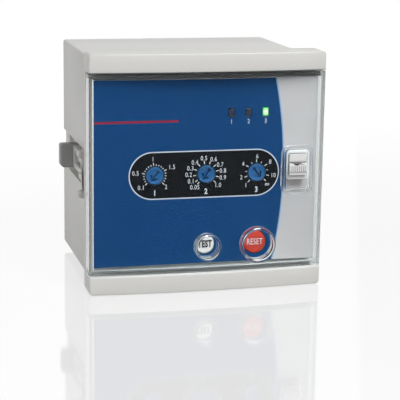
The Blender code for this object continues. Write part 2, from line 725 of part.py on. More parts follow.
def front_plate():
    outline = rounded_rectangle(2 * PLATE_HALF_X, 2 * PLATE_HALF_Z, PLATE_CORNER)
    plate = bar_from_outline(outline, "y", PLATE_FRONT, PLATE_REAR)
    post_front = PLATE_REAR - PLATE_THICKNESS / 2
    posts = [
        round_bar("y", place, PLATE_POST_RADIUS, post_front, PARTS_SEAT, SCREW_STEPS)
        for place in plate_post_places()
    ]
    fuse(plate, *posts)
    screw_holes = [
        round_bar("y", place, BOARD_SCREW_RADIUS + SEAT_GAP,
                  BOARD_REAR - BOARD_SCREW_LENGTH, BOARD_REAR, SCREW_STEPS)
        for place in plate_post_places()
    ]
    # The plate's edge beside the hinge is only a lip, because the cover's rear edge swings
    # in behind it as the cover opens
    hinge_step = block(
        (-PLATE_HALF_X - SEAT_GAP, -DECK_HALF_X), (PLATE_FRONT + PLATE_HINGE_LIP, PLATE_REAR + SEAT_GAP),
        (-PLATE_HALF_Z - SEAT_GAP, PLATE_HALF_Z + SEAT_GAP))
    cut(plate, hinge_step, *fascia_openings(PLATE_FRONT - SEAT_GAP, PLATE_REAR + SEAT_GAP), *screw_holes)
    return plate


def fascia_overlay():
    inset = OVERLAY_THICKNESS
    outline = rounded_rectangle(2 * (PLATE_HALF_X - inset), 2 * (PLATE_HALF_Z - inset), PLATE_CORNER)
    film = bar_from_outline(outline, "y", FASCIA_DEPTH, FASCIA_DEPTH + OVERLAY_THICKNESS)
    return cut(film, *fascia_openings(FASCIA_DEPTH - SEAT_GAP, PLATE_FRONT + SEAT_GAP))


name_piece(front_plate(), "front_plate", PLATE_GREY, ROOT)
name_piece(fascia_overlay(), "fascia_overlay", FASCIA_FILM, ROOT)


# Clear cover with hinge pins, button collars and latch tub

def cover_front_at(x):
    return COVER_FRONT + front_bow(x)


def tub_floor():
    return cover_front_at(LATCH_X) + TUB_FLOOR_DEPTH


def clear_cover():
    heights = (-COVER_HALF_HEIGHT, COVER_HALF_HEIGHT)
    cover = bowed_block(HALF_FRAME, heights, COVER_FRONT, COVER_REAR, COVER_EDGE, COVER_SIDE_WALL)
    cavity = bowed_block(
        COVER_INNER_X, (-COVER_INNER_Z, COVER_INNER_Z), COVER_LINING, COVER_REAR + COVER_SIDE_WALL,
        COVER_EDGE / 2)
    cut(cover, cavity)

    collars = [
        ("reset", RESET_COLLAR_RADIUS, RESET_COLLAR_WALL),
        ("test", TEST_COLLAR_RADIUS, TEST_COLLAR_WALL),
    ]
    additions, bores = [], []
    for name, radius, wall in collars:
        x = BUTTONS[name][0]
        front = cover_front_at(x) - COLLAR_PROUD
        additions.append(turned([
            (0, front), (radius - COLLAR_PROUD, front), (radius, front + COLLAR_PROUD),
            (radius, COLLAR_REAR), (0, COLLAR_REAR)], (x, BUTTON_ROW), FINE_ROUND_STEPS))
        bore, mouth = radius - wall, radius - wall + COLLAR_MOUTH
        bores.append(turned([
            (0, front - COLLAR_PROUD), (mouth, front - COLLAR_PROUD), (mouth, front),
            (bore, front + COLLAR_MOUTH), (bore, COLLAR_REAR + SEAT_GAP), (0, COLLAR_REAR + SEAT_GAP)],
            (x, BUTTON_ROW), FINE_ROUND_STEPS))

    floor = tub_floor()
    floor_rear = floor + TUB_FLOOR_THICKNESS
    tub_outline = rounded_rectangle(TUB_WIDTH, TUB_HEIGHT, TUB_CORNER, (LATCH_X, LATCH_Z))
    additions.append(bar_from_outline(tub_outline, "y", floor, COLLAR_REAR))
    recess_outline = rounded_rectangle(
        TUB_WIDTH - 2 * TUB_WALL, TUB_HEIGHT - 2 * TUB_WALL, TUB_CORNER - TUB_WALL, (LATCH_X, LATCH_Z))
    bores.append(bar_from_outline(recess_outline, "y", FRONT_REACH - TUB_FLOOR_DEPTH, floor))
    bores.append(bar_from_outline(recess_outline, "y", floor_rear, COLLAR_REAR + SEAT_GAP))
    half_window = THUMB_WIDTH / 2 + RUN_GAP
    bores.append(block(
        (LATCH_X - half_window, LATCH_X + half_window), (floor - SEAT_GAP, floor_rear + SEAT_GAP),
        (LATCH_Z + THUMB_BOTTOM - LATCH_TRAVEL - RUN_GAP, LATCH_Z + THUMB_TOP + RUN_GAP)))

    pin_root = COVER_INNER_Z + COVER_END_WALL / 2
    pin_tip = COVER_HALF_HEIGHT + HINGE_PIN_LENGTH
    additions += [
        round_bar("z", (HINGE_X, HINGE_Y), HINGE_PIN_RADIUS, side * pin_root, side * pin_tip, SCREW_STEPS)
        for side in (-1, 1)
    ]
    fuse(cover, *additions)
    cut(cover, *bores)
    return cover


def cover_latch():
    """Thumb piece in the tub's window, a guide plate behind its floor, and the tongue."""
    floor = tub_floor()
    guide_front = floor + TUB_FLOOR_THICKNESS + SEAT_GAP / 2
    guide_rear = COLLAR_REAR
    recess_half = TUB_WIDTH / 2 - TUB_WALL - RUN_GAP
    recess_top = TUB_HEIGHT / 2 - TUB_WALL - RUN_GAP
    guide_bottom = -recess_top + LATCH_TRAVEL
    ridge_top = LATCH_Z + 0.30 * THUMB_TOP
    ridge_bottom = LATCH_Z + 0.40 * THUMB_BOTTOM
    ridge = floor - THUMB_PROUD
    low_front = floor - THUMB_PROUD / 2
    profile = [
        (guide_front + SEAT_GAP / 2, LATCH_Z + THUMB_TOP),
        (low_front, LATCH_Z + THUMB_TOP),
        (floor + TUB_FLOOR_THICKNESS / 2, ridge_top + SEAT_GAP),
        (ridge, ridge_top),
        (ridge, ridge_bottom),
        (low_front, ridge_bottom - SEAT_GAP),
        (low_front, LATCH_Z + THUMB_BOTTOM),
        (guide_front + SEAT_GAP / 2, LATCH_Z + THUMB_BOTTOM),
    ]
    thumb = bar_from_outline(profile, "x", LATCH_X - THUMB_WIDTH / 2, LATCH_X + THUMB_WIDTH / 2)
    guide_outline = rounded_rectangle(
        2 * recess_half, recess_top - guide_bottom, TUB_CORNER - TUB_WALL,
        (LATCH_X, LATCH_Z + (recess_top + guide_bottom) / 2))
    guide = bar_from_outline(guide_outline, "y", guide_front, guide_rear)
    tongue_bottom = LATCH_Z + LATCH_TONGUE_RISE
    tongue = block(
        (LATCH_X - LATCH_TONGUE_WIDTH / 2, LATCH_X + LATCH_TONGUE_WIDTH / 2),
        (guide_rear - SEAT_GAP, PLATE_REAR + LATCH_TONGUE_REACH),
        (tongue_bottom, tongue_bottom + LATCH_TONGUE_HEIGHT))
    return fuse(thumb, guide, tongue)


HINGE = add_pivot("cover_hinge", (HINGE_X, HINGE_Y, 0.0), ROOT)
name_piece(clear_cover(), "clear_cover", CLEAR_PC, HINGE)
name_piece(cover_latch(), "cover_latch", CLEAR_PC, HINGE)


# Setting dials and their potentiometers

def arrow_outline(x, z, heading):
    """Arrow slot through the dial's middle, pointing to heading, clockwise from the top."""
    half, tail_half = ARROW_WIDTH / 2, ARROW_TAIL_WIDTH / 2
    tip = ARROW_LENGTH / 2
    barb = ARROW_BARB
    neck = ARROW_TAIL_LENGTH - tip
    points = [
        (-half, neck), (-tail_half, -tip), (tail_half, -tip), (half, neck),
        (half, tip - barb - half), (barb, tip - barb - 2 * half),
        (barb, tip - barb), (0.0, tip), (-barb, tip - barb), (-barb, tip - barb - 2 * half),
        (-half, tip - barb - half),
    ]
    turn = math.radians(heading)
    return [
        (x + px * math.cos(turn) + pz * math.sin(turn), z - px * math.sin(turn) + pz * math.cos(turn))
        for px, pz in points
    ]


def setting_dial(x, heading):
    front = FASCIA_DEPTH - DIAL_PROUD
    shoulder = PLATE_REAR + SEAT_GAP
    shaft_end = shoulder + SEAT_GAP + POT_BORE_DEPTH - SEAT_GAP
    chamfer = DIAL_PROUD / 2
    dial = turned([
        (0, front), (DIAL_RADIUS - chamfer, front), (DIAL_RADIUS, front + chamfer),
        (DIAL_RADIUS, shoulder), (DIAL_SHAFT_RADIUS, shoulder), (DIAL_SHAFT_RADIUS, shaft_end),
        (0, shaft_end)], (x, DIAL_ROW))
    slot = bar_from_outline(arrow_outline(x, DIAL_ROW, heading), "y", front - SEAT_GAP, front + ARROW_DEPTH)
    return cut(dial, slot)


def potentiometer(x):
    front = PLATE_REAR + 2 * SEAT_GAP
    half = POT_SIZE / 2
    body = bar_from_outline(
        rounded_rectangle(POT_SIZE, POT_SIZE, half / 4, (x, DIAL_ROW)), "y", front, PARTS_SEAT)
    bore = round_bar("y", (x, DIAL_ROW), DIAL_SHAFT_RADIUS + SEAT_GAP, front - SEAT_GAP,
                     front + POT_BORE_DEPTH + SEAT_GAP)
    return cut(body, bore)


for number, dial_x in DIALS.items():
    at_end = number == "3"
    heading = DIAL_START + DIAL_SWEEP if at_end else DIAL_START
    pivot = add_pivot("dial_axis_" + number, (dial_x, FASCIA_DEPTH, DIAL_ROW), ROOT)
    name_piece(setting_dial(dial_x, heading), "dial_" + number, DIAL_BLUE, pivot)
    name_piece(potentiometer(dial_x), "potentiometer_" + number, BLACK_PLASTIC, ROOT)


# Push buttons and the switches behind them

def push_button(x, radius):
    front = FASCIA_DEPTH - BUTTON_PROUD
    lip_front = PLATE_REAR + SEAT_GAP
    lip_rear = lip_front + BUTTON_LIP_THICKNESS
    stem_end = switch_front() + BUTTON_TRAVEL - SEAT_GAP
    return turned([
        (0, front), (radius - BUTTON_EDGE, front), (radius, front + BUTTON_EDGE), (radius, lip_front),
        (radius + BUTTON_LIP, lip_front), (radius + BUTTON_LIP, lip_rear),
        (BUTTON_STEM_RADIUS, lip_rear), (BUTTON_STEM_RADIUS, stem_end), (0, stem_end)],
        (x, BUTTON_ROW), FINE_ROUND_STEPS)


def switch_front():
    return PARTS_SEAT - SWITCH_HEIGHT


def button_switch(x):
    half = SWITCH_SIZE / 2
    body = bar_from_outline(
        rounded_rectangle(SWITCH_SIZE, SWITCH_SIZE, half / 5, (x, BUTTON_ROW)), "y", switch_front(), PARTS_SEAT)
    bore = round_bar("y", (x, BUTTON_ROW), BUTTON_STEM_RADIUS + SEAT_GAP, switch_front() - SEAT_GAP,
                     switch_front() + 2 * BUTTON_TRAVEL)
    return cut(body, bore)


for label, (button_x, button_radius) in BUTTONS.items():
    pivot = add_pivot(label + "_axis", (button_x, FASCIA_DEPTH, BUTTON_ROW), ROOT)
    colour = RED_ABS if label == "reset" else WHITE_ABS
    name_piece(push_button(button_x, button_radius), label + "_button", colour, pivot)
    name_piece(button_switch(button_x), label + "_switch", BLACK_PLASTIC, ROOT)


# Indicator lamps

def lamp(x):
    half_x, half_z = LAMP_WIDTH / 2, LAMP_HEIGHT / 2
    body = block((x - half_x, x + half_x), (FASCIA_DEPTH, PARTS_SEAT), (LAMP_ROW - half_z, LAMP_ROW + half_z))
    foot = block(
        (x - half_x - LAMP_FOOT, x + half_x + LAMP_FOOT), (PARTS_SEAT - LAMP_FOOT_LENGTH, PARTS_SEAT),
        (LAMP_ROW - half_z - LAMP_FOOT, LAMP_ROW + half_z + LAMP_FOOT))
    return fuse(body, foot)


for number, lamp_x in enumerate(LAMPS, 1):
    name_piece(lamp(lamp_x), f"lamp_{number}", LAMP_GREEN if number == 3 else LAMP_DARK, ROOT)


# Circuit boards

def screw(axis_place, seat, head_radius, head_height, radius, length, tip_first):
    """A round-headed screw along Y with a cross slot in its head."""
    x, z = axis_place
    head_rear = seat + head_height
    shape = turned([
        (0, seat - length), (radius, seat - length), (radius, seat), (head_radius, seat),
        (head_radius, head_rear - head_height / 3), (head_radius * 0.75, head_rear), (0, head_rear)],
        axis_place, SCREW_STEPS)
    half, depth = head_radius * 0.12, head_height * 0.5
    slots = [block((x - head_radius, x + head_radius), (head_rear - depth, head_rear + depth), (z - half, z + half))]
    if tip_first:
        slots.append(block((x - half, x + half), (head_rear - depth, head_rear + depth),
                           (z - head_radius / 2, z + head_radius / 2)))
    return cut(shape, *slots)


def front_circuit_board():
    half_x = SPIGOT_INNER - SEAT_GAP
    board = block((-half_x, half_x), (BOARD_FRONT, BOARD_REAR), (-FRONT_BOARD_HALF_Z, FRONT_BOARD_HALF_Z))
    holes = [
        round_bar("y", place, BOARD_SCREW_RADIUS + SEAT_GAP, BOARD_FRONT - SEAT_GAP, BOARD_REAR + SEAT_GAP,
                  SCREW_STEPS)
        for place in plate_post_places()
    ]
    return cut(board, *holes)


def main_circuit_board():
    half_x = CASE_INNER - SEAT_GAP
    front_corner = CASE_POST_LENGTH + SEAT_GAP
    board = block((-half_x, half_x), (MAIN_BOARD_FRONT, REAR_BOARD_REAR), (MAIN_BOARD_BOTTOM, MAIN_BOARD_TOP))
    notch_front = PANEL_FRONT - SEAT_GAP - front_corner
    notches = [
        block(sorted((side * (CASE_INNER - CASE_POST - SEAT_GAP), side * CASE_SIZE)),
              (notch_front, CASE_REAR), (MAIN_BOARD_BOTTOM - CASE_WALL, MAIN_BOARD_TOP + CASE_WALL))
        for side in (-1, 1)
    ]
    return cut(board, *notches)


def board_header():
    half = HEADER_WIDTH / 2
    return block((-half, half), (BOARD_REAR + SEAT_GAP, HEADER_REAR),
                 (MAIN_SEAT, MAIN_SEAT + HEADER_HEIGHT))


def rear_circuit_board():
    return block((-REAR_BOARD_HALF_X, REAR_BOARD_HALF_X), (REAR_BOARD_FRONT, REAR_BOARD_REAR),
                 (MAIN_SEAT, REAR_BOARD_TOP))


name_piece(front_circuit_board(), "front_circuit_board", BOARD_GREEN, ROOT)
name_piece(main_circuit_board(), "main_circuit_board", BOARD_GREEN, ROOT)
name_piece(rear_circuit_board(), "rear_circuit_board", BOARD_GREEN, ROOT)
name_piece(board_header(), "board_header", BLACK_PLASTIC, ROOT)
for number, place in enumerate(plate_post_places(), 1):
    board_screw = screw(place, BOARD_REAR + SEAT_GAP, BOARD_SCREW_HEAD, BOARD_SCREW_HEAD_HEIGHT,
                        BOARD_SCREW_RADIUS, BOARD_SCREW_LENGTH, True)
    name_piece(board_screw, f"front_board_screw_{number}", STEEL, ROOT)


# Transformers, output relays, capacitors and control chip on the main board

def mains_transformer():
    """Laminated core with two windows, and the winding round its middle limb."""
    base = MAIN_SEAT
    y_range = (CORE_Y - CORE_DEPTH / 2, CORE_Y + CORE_DEPTH / 2)
    core = block((CORE_X - CORE_WIDTH / 2, CORE_X + CORE_WIDTH / 2), y_range, (base, base + CORE_HEIGHT))
    window_z = (base + CORE_LIMB, base + CORE_HEIGHT - CORE_LIMB)
    window_out = CORE_WIDTH / 2 - CORE_LIMB
    windows = [
        block(sorted((CORE_X + side * CORE_LIMB, CORE_X + side * window_out)),
              (y_range[0] - SEAT_GAP, y_range[1] + SEAT_GAP), window_z)
        for side in (-1, 1)
    ]
    cut(core, *windows)
    coil = block(
        (CORE_X - window_out + SEAT_GAP, CORE_X + window_out - SEAT_GAP),
        (y_range[0] - COIL_OVERHANG, y_range[1] + COIL_OVERHANG),
        (window_z[0] + SEAT_GAP, window_z[1] - SEAT_GAP))
    bevel_edges(coil, COIL_OVERHANG / 3)
    limb = CORE_LIMB + SEAT_GAP
    cut(coil, block((CORE_X - limb, CORE_X + limb), (y_range[0] - SEAT_GAP, y_range[1] + SEAT_GAP),
                    (base, base + CORE_HEIGHT)))
    return core, coil


def standing(profile, x, y, base, steps=ROUND_STEPS):
    """Turns a profile of (radius, height) points about a vertical axis."""
    shape = turned([(radius, -height) for radius, height in profile], (0, 0), steps)
    shape.data.transform(Matrix.Translation((x, y, base)) @ Matrix.Rotation(math.radians(-90), 4, "X"))
    return shape


def current_transformer():
    rim = TOROID_HEIGHT / 5
    ring = standing([
        (TOROID_HOLE, TOROID_HEIGHT - rim), (TOROID_HOLE + rim, TOROID_HEIGHT),
        (TOROID_RADIUS - rim, TOROID_HEIGHT), (TOROID_RADIUS, TOROID_HEIGHT - rim),
        (TOROID_RADIUS, rim), (TOROID_RADIUS - rim, 0), (TOROID_HOLE + rim, 0), (TOROID_HOLE, rim),
        (TOROID_HOLE, TOROID_HEIGHT - rim)], TOROID_X, TOROID_Y, MAIN_SEAT)
    return ring


def output_relay(y):
    half_x, half_y = OUTPUT_RELAY_WIDTH / 2, OUTPUT_RELAY_DEPTH / 2
    body = block((OUTPUT_RELAY_X - half_x, OUTPUT_RELAY_X + half_x), (y - half_y, y + half_y),
                 (MAIN_SEAT, MAIN_SEAT + OUTPUT_RELAY_HEIGHT))
    return bevel_edges(body, OUTPUT_RELAY_HEIGHT / 20)


def capacitor(x):
    groove = CAPACITOR_RADIUS * 0.9
    return standing([
        (0, CAPACITOR_HEIGHT), (groove, CAPACITOR_HEIGHT), (CAPACITOR_RADIUS, CAPACITOR_HEIGHT * 0.96),
        (CAPACITOR_RADIUS, CAPACITOR_HEIGHT * 0.15), (groove, CAPACITOR_HEIGHT * 0.11),
        (CAPACITOR_RADIUS, CAPACITOR_HEIGHT * 0.07), (CAPACITOR_RADIUS, 0), (0, 0)],
        x, CAPACITOR_Y, MAIN_SEAT, ROUND_STEPS - 4)


def control_chip():
    lead, lead_drop = CHIP_LEAD_PITCH / 5, CHIP_HEIGHT / 3
    half_x, half_y = CHIP_WIDTH / 2, CHIP_LENGTH / 2
    body = block((CHIP_X - half_x, CHIP_X + half_x), (CHIP_Y - half_y, CHIP_Y + half_y),
                 (MAIN_SEAT + lead_drop, MAIN_SEAT + CHIP_HEIGHT))
    leads = []
    count = int(CHIP_LENGTH / CHIP_LEAD_PITCH)
    for step in range(count):
        y = CHIP_Y + (step - (count - 1) / 2) * CHIP_LEAD_PITCH
        for side in (-1, 1):
            leads.append(block(
                sorted((CHIP_X + side * (half_x - lead), CHIP_X + side * (half_x + lead))),
                (y - lead / 2, y + lead / 2), (MAIN_SEAT, MAIN_SEAT + CHIP_HEIGHT / 2)))
    return fuse(body, *leads)


core_solid, coil_solid = mains_transformer()
name_piece(core_solid, "transformer_core", SILICON_STEEL, ROOT)
name_piece(coil_solid, "transformer_winding", TAPE_YELLOW, ROOT)
name_piece(current_transformer(), "current_transformer", COPPER, ROOT)
for number in (1, 2):
    relay_y = OUTPUT_RELAY_Y - (2 - number) * OUTPUT_RELAY_PITCH
    name_piece(output_relay(relay_y), f"output_relay_{number}", BLACK_PLASTIC, ROOT)
    capacitor_x = CAPACITOR_X - (2 - number) * CAPACITOR_PITCH + CAPACITOR_PITCH / 2
    name_piece(capacitor(capacitor_x), f"capacitor_{number}", BLACK_PLASTIC, ROOT)
name_piece(control_chip(), "control_chip", BLACK_PLASTIC, ROOT)


# Rear panel, terminal blocks, their screws and contacts

def terminal_levels():
    middle = (TERMINALS_PER_BLOCK - 1) / 2
    return [(step - middle) * TERMINAL_PITCH for step in range(TERMINALS_PER_BLOCK)]


def rear_panel():
    half = CASE_INNER - SEAT_GAP
    panel = block((-half, half), (PANEL_FRONT, PANEL_REAR), (-half, half))
    window_x, window_z = BLOCK_WIDTH / 2 + SEAT_GAP, BLOCK_HALF_Z + SEAT_GAP
    windows = [
        block((side * BLOCK_X - window_x, side * BLOCK_X + window_x),
              (PANEL_FRONT - SEAT_GAP, PANEL_REAR + SEAT_GAP), (-window_z, window_z))
        for side in (-1, 1)
    ]
    holes = [
        round_bar("y", place, CASE_SCREW_RADIUS + SEAT_GAP, PANEL_FRONT - SEAT_GAP, PANEL_REAR + SEAT_GAP,
                  SCREW_STEPS)
        for place in case_screw_places()
    ]
    return cut(panel, *windows, *holes)


def terminal_block():
    """Right-hand block: body through the rear panel, lip behind it, wells, wire entries and contacts."""
    half = BLOCK_WIDTH / 2
    body = block((BLOCK_X - half, BLOCK_X + half), (BLOCK_LIP_FRONT, BLOCK_REAR), (-BLOCK_HALF_Z, BLOCK_HALF_Z))
    bevel_edges(body, FRAME_EDGE)
    lip = block((BLOCK_X - half - BLOCK_LIP, BLOCK_X + half + BLOCK_LIP), (BLOCK_LIP_FRONT, BLOCK_LIP_REAR),
                (-BLOCK_HALF_Z - BLOCK_LIP, BLOCK_HALF_Z + BLOCK_LIP))
    fuse(body, lip)
    wells = []
    entry_y = terminal_entry_range()
    entry_end = BLOCK_X - TERMINAL_SCREW_RADIUS - WIRE_ENTRY_PAST_SCREW
    for z in terminal_levels():
        wells.append(round_bar("y", (BLOCK_X, z), TERMINAL_SCREW_HEAD + SEAT_GAP, entry_y[1] - SEAT_GAP,
                               BLOCK_REAR + SEAT_GAP, SCREW_STEPS))
        wells.append(block((entry_end, BLOCK_X + half + SEAT_GAP), entry_y,
                           (z - WIRE_ENTRY / 2, z + WIRE_ENTRY / 2)))
    cut(body, *wells)
    contact_half = WIRE_ENTRY / 2 - SEAT_GAP
    contacts = [
        block((entry_end - SEAT_GAP, BLOCK_X + half - SEAT_GAP),
              (entry_y[0] - SEAT_GAP, entry_y[0] + CONTACT_THICKNESS), (z - contact_half, z + contact_half))
        for z in terminal_levels()
    ]
    return fuse(body, *contacts)


def terminal_entry_range():
    rear = BLOCK_REAR - TERMINAL_SCREW_INSET - TERMINAL_SCREW_HEAD_HEIGHT - SEAT_GAP
    return rear - WIRE_ENTRY, rear


def terminal_screw(x, z):
    entry_front, entry_rear = terminal_entry_range()
    seat = entry_rear + SEAT_GAP
    tip = entry_front + CONTACT_THICKNESS + SEAT_GAP
    return screw((x, z), seat, TERMINAL_SCREW_HEAD, TERMINAL_SCREW_HEAD_HEIGHT, TERMINAL_SCREW_RADIUS,
                 seat - tip, False)


name_piece(rear_panel(), "rear_panel", GREY_ABS, ROOT)
right_block = terminal_block()
left_block = mirrored(right_block)
name_piece(right_block, "terminal_block_right", BLACK_PLASTIC, ROOT)
name_piece(left_block, "terminal_block_left", BLACK_PLASTIC, ROOT)
for number, z in enumerate(reversed(terminal_levels()), 1):
    name_piece(terminal_screw(-BLOCK_X, z), f"terminal_screw_left_{number}", STEEL, ROOT)
    name_piece(terminal_screw(BLOCK_X, z), f"terminal_screw_right_{number}", STEEL, ROOT)
for number, place in enumerate(case_screw_places(), 1):
    panel_screw = screw(place, PANEL_REAR + SEAT_GAP, CASE_SCREW_HEAD, CASE_SCREW_HEAD_HEIGHT,
                        CASE_SCREW_RADIUS, CASE_SCREW_LENGTH, True)
    name_piece(panel_screw, f"rear_panel_screw_{number}", STEEL, ROOT)


# Side clips that hold the relay in the panel

def clip_frame():
    """Left clip: two arms in the channel and an arched foot outside it."""
    arm_outer = -HALF_CASE + SEAT_GAP
    arm_inner = arm_outer + CLIP_ARM_THICKNESS
    foot_rear = CLIP_FOOT_FRONT + CLIP_FOOT_DEPTH
    foot_outer = -HALF_CASE - SEAT_GAP - CLIP_FOOT_THICKNESS
    foot_inner = -HALF_CASE - SEAT_GAP
    half_foot = CLIP_FOOT_HEIGHT / 2
    low, high = CLIP_LEVEL - half_foot, CLIP_LEVEL + half_foot
    arch_half = half_foot - CLIP_PAD_HEIGHT
    arch = [
        (CLIP_FOOT_FRONT + CLIP_FOOT_ARCH * math.cos(math.radians(90) * step / FILLET_STEPS),
         CLIP_LEVEL + arch_half * math.sin(math.radians(90) * step / FILLET_STEPS))
        for step in range(-FILLET_STEPS, FILLET_STEPS + 1)
    ]
    outline = [(foot_rear, low + CLIP_PAD_HEIGHT), (foot_rear, high - CLIP_PAD_HEIGHT)]
    outline += [(CLIP_FOOT_FRONT + CLIP_PAD_HEIGHT, high), (CLIP_FOOT_FRONT, high)]
    outline += list(reversed(arch))
    outline += [(CLIP_FOOT_FRONT, low), (CLIP_FOOT_FRONT + CLIP_PAD_HEIGHT, low)]
    foot = bar_from_outline(outline, "x", foot_outer, foot_inner)
    pads = [
        round_bar("y", (foot_outer + CLIP_FOOT_THICKNESS / 2 - CLIP_PAD_EXTRA / 2, z),
                  CLIP_PAD_HEIGHT / 2, CLIP_FOOT_FRONT, CLIP_FOOT_FRONT + CLIP_PAD_HEIGHT, SCREW_STEPS)
        for z in (low + CLIP_PAD_HEIGHT / 2, high - CLIP_PAD_HEIGHT / 2)
    ]
    arms = []
    arm_front = CHANNEL_START + CLIP_FORWARD_TRAVEL + 2 * RUN_GAP
    neck = arm_front + 2 * CLIP_FOOT_DEPTH
    strap_outer = foot_outer + CLIP_FOOT_THICKNESS / 2
    for side in (-1, 1):
        z = CLIP_LEVEL + side * CLIP_ARM_SPACING / 2
        z_range = (z - CLIP_ARM_HEIGHT / 2, z + CLIP_ARM_HEIGHT / 2)
        arms.append(block((arm_outer, arm_inner), (arm_front, CLIP_REAR), z_range))
        arms.append(block((strap_outer, arm_inner - CLIP_ARM_THICKNESS / 2), (arm_front, neck), z_range))
        arms.append(block((strap_outer, foot_inner), (foot_rear - SEAT_GAP, neck), z_range))
    bridge_half = CLIP_ARM_SPACING / 2 + CLIP_ARM_HEIGHT / 2
    arms.append(block((arm_outer, arm_inner), (CLIP_REAR - CLIP_ARM_HEIGHT, CLIP_REAR),
                      (CLIP_LEVEL - bridge_half, CLIP_LEVEL + bridge_half)))
    return fuse(foot, *pads, *arms)


def clip_grip():
    """Left thumb grip behind the arms, standing out of the case side."""
    front = CLIP_REAR + SEAT_GAP
    inner = -HALF_CASE + SEAT_GAP + CLIP_ARM_THICKNESS
    outer = -HALF_CASE - GRIP_REACH
    half = GRIP_HEIGHT / 2
    low, high = CLIP_LEVEL - half, CLIP_LEVEL + half
    outline = [
        (inner, low), (inner, high), (outer + GRIP_CHAMFER / 2, high), (outer, high - GRIP_CHAMFER / 2),
        (outer, low + GRIP_CHAMFER), (outer + GRIP_CHAMFER, low),
    ]
    return bar_from_outline(outline, "y", front, front + GRIP_DEPTH)


left_clip = clip_frame()
left_grip = clip_grip()
for side_name, clip_solid, grip_solid in (
    ("right", mirrored(left_clip), mirrored(left_grip)),
    ("left", left_clip, left_grip),
):
    side = -1 if side_name == "left" else 1
    runner = add_pivot("clip_runner_" + side_name, (side * HALF_CASE, CLIP_REAR, CLIP_LEVEL), ROOT)
    name_piece(clip_solid, "mounting_clip_" + side_name, GREY_ABS, runner)
    name_piece(grip_solid, "clip_grip_" + side_name, CLIP_GREY, runner)
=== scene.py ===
import math

import bmesh
import bpy
from mathutils import Matrix, Vector


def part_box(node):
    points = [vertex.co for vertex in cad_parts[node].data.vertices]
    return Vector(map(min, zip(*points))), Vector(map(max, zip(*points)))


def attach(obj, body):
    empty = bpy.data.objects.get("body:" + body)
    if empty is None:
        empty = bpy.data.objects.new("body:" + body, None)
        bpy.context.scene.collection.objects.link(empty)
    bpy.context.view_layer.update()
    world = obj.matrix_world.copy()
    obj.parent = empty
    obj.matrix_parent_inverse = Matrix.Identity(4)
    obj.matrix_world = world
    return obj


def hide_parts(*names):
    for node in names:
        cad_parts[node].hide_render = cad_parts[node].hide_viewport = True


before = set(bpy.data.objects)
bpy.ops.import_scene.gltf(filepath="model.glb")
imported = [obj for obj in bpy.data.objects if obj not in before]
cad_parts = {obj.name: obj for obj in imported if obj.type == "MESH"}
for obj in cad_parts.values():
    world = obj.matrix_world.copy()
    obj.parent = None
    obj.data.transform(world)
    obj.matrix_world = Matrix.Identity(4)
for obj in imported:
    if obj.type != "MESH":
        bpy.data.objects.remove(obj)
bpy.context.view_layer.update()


# Front frame
# The square bezel: a flange, a bowed bar above and below the cover, and a spigot that enters the case.
# Light grey ABS, injection moulded in one piece in a tool with a fine eroded grain, its edges rounded.

MM = 0.001
FRAME_ORIGIN = Vector((0.0, -42.8, 48.0))
EDGE_ANGLE, FLAT_ANGLE = math.radians(38), math.radians(0.6)
WELD_DISTANCE, FRAME_ROUNDING = 0.002, 0.16
CLOUD_SIZE, SHINE_SPREAD = 18, 0.06


def place(x, y, z):
    """A point in metres, from mm right of, behind and above the middle of the bezel's front plane."""
    return (FRAME_ORIGIN + Vector((x, y, z))) * MM


def linear(hex_colour):
    """An sRGB hex colour as the linear values a shader takes."""
    shares = [int(hex_colour[start:start + 2], 16) / 255 for start in (1, 3, 5)]
    lights = [share / 12.92 if share <= 0.04045 else ((share + 0.055) / 1.055) ** 2.4 for share in shares]
    return lights + [1.0]


def add_node(material, kind, settings=None, inputs=None):
    """Adds a shader node; an input is a number, a colour, or the output socket that feeds it."""
    node = material.node_tree.nodes.new("ShaderNode" + kind)
    for name, value in (settings or {}).items():
        setattr(node, name, value)
    for name, value in (inputs or {}).items():
        if isinstance(value, bpy.types.NodeSocket):
            material.node_tree.links.new(value, node.inputs[name])
        else:
            node.inputs[name].default_value = value
    return node


def start_material(name, constants):
    """A material with one Principled shader, and constants on its own sockets."""
    material = bpy.data.materials.new(name)
    material.use_nodes = True
    shader = material.node_tree.nodes["Principled BSDF"]
    for socket, value in constants.items():
        shader.inputs[socket].default_value = value
    return material, shader


def join(material, output, socket):
    material.node_tree.links.new(output, socket)


def moulded_plastic(name, colour, shade, roughness, grain, depth, constants=None):
    """Plastic from an eroded tool: two close tints in slow clouds, an even grain that breaks the shine."""
    material, shader = start_material(name, {"IOR": 1.53, **(constants or {})})
    spot = add_node(material, "TexCoord").outputs["Object"]
    clouds = add_node(material, "TexNoise", {}, {
        "Vector": spot, "Scale": 1 / (CLOUD_SIZE * MM), "Detail": 2.0})
    tint = add_node(material, "Mix", {"data_type": "RGBA"}, {
        0: clouds.outputs["Fac"], 6: linear(shade), 7: linear(colour)})
    pits = add_node(material, "TexNoise", {}, {
        "Vector": spot, "Scale": 1 / (grain * MM), "Detail": 3.0, "Roughness": 0.6})
    shine = add_node(material, "MapRange", {}, {
        "Value": pits.outputs["Fac"], "From Min": 0.3, "From Max": 0.7,
        "To Min": roughness - SHINE_SPREAD, "To Max": roughness + SHINE_SPREAD})
    relief = add_node(material, "Bump", {}, {
        "Height": pits.outputs["Fac"], "Strength": 0.5, "Distance": depth * MM})
    join(material, tint.outputs[2], shader.inputs["Base Color"])
    join(material, shine.outputs["Result"], shader.inputs["Roughness"])
    join(material, relief.outputs["Normal"], shader.inputs["Normal"])
    return material


def select_only(piece):
    bpy.ops.object.select_all(action="DESELECT")
    piece.select_set(True)
    bpy.context.view_layer.objects.active = piece


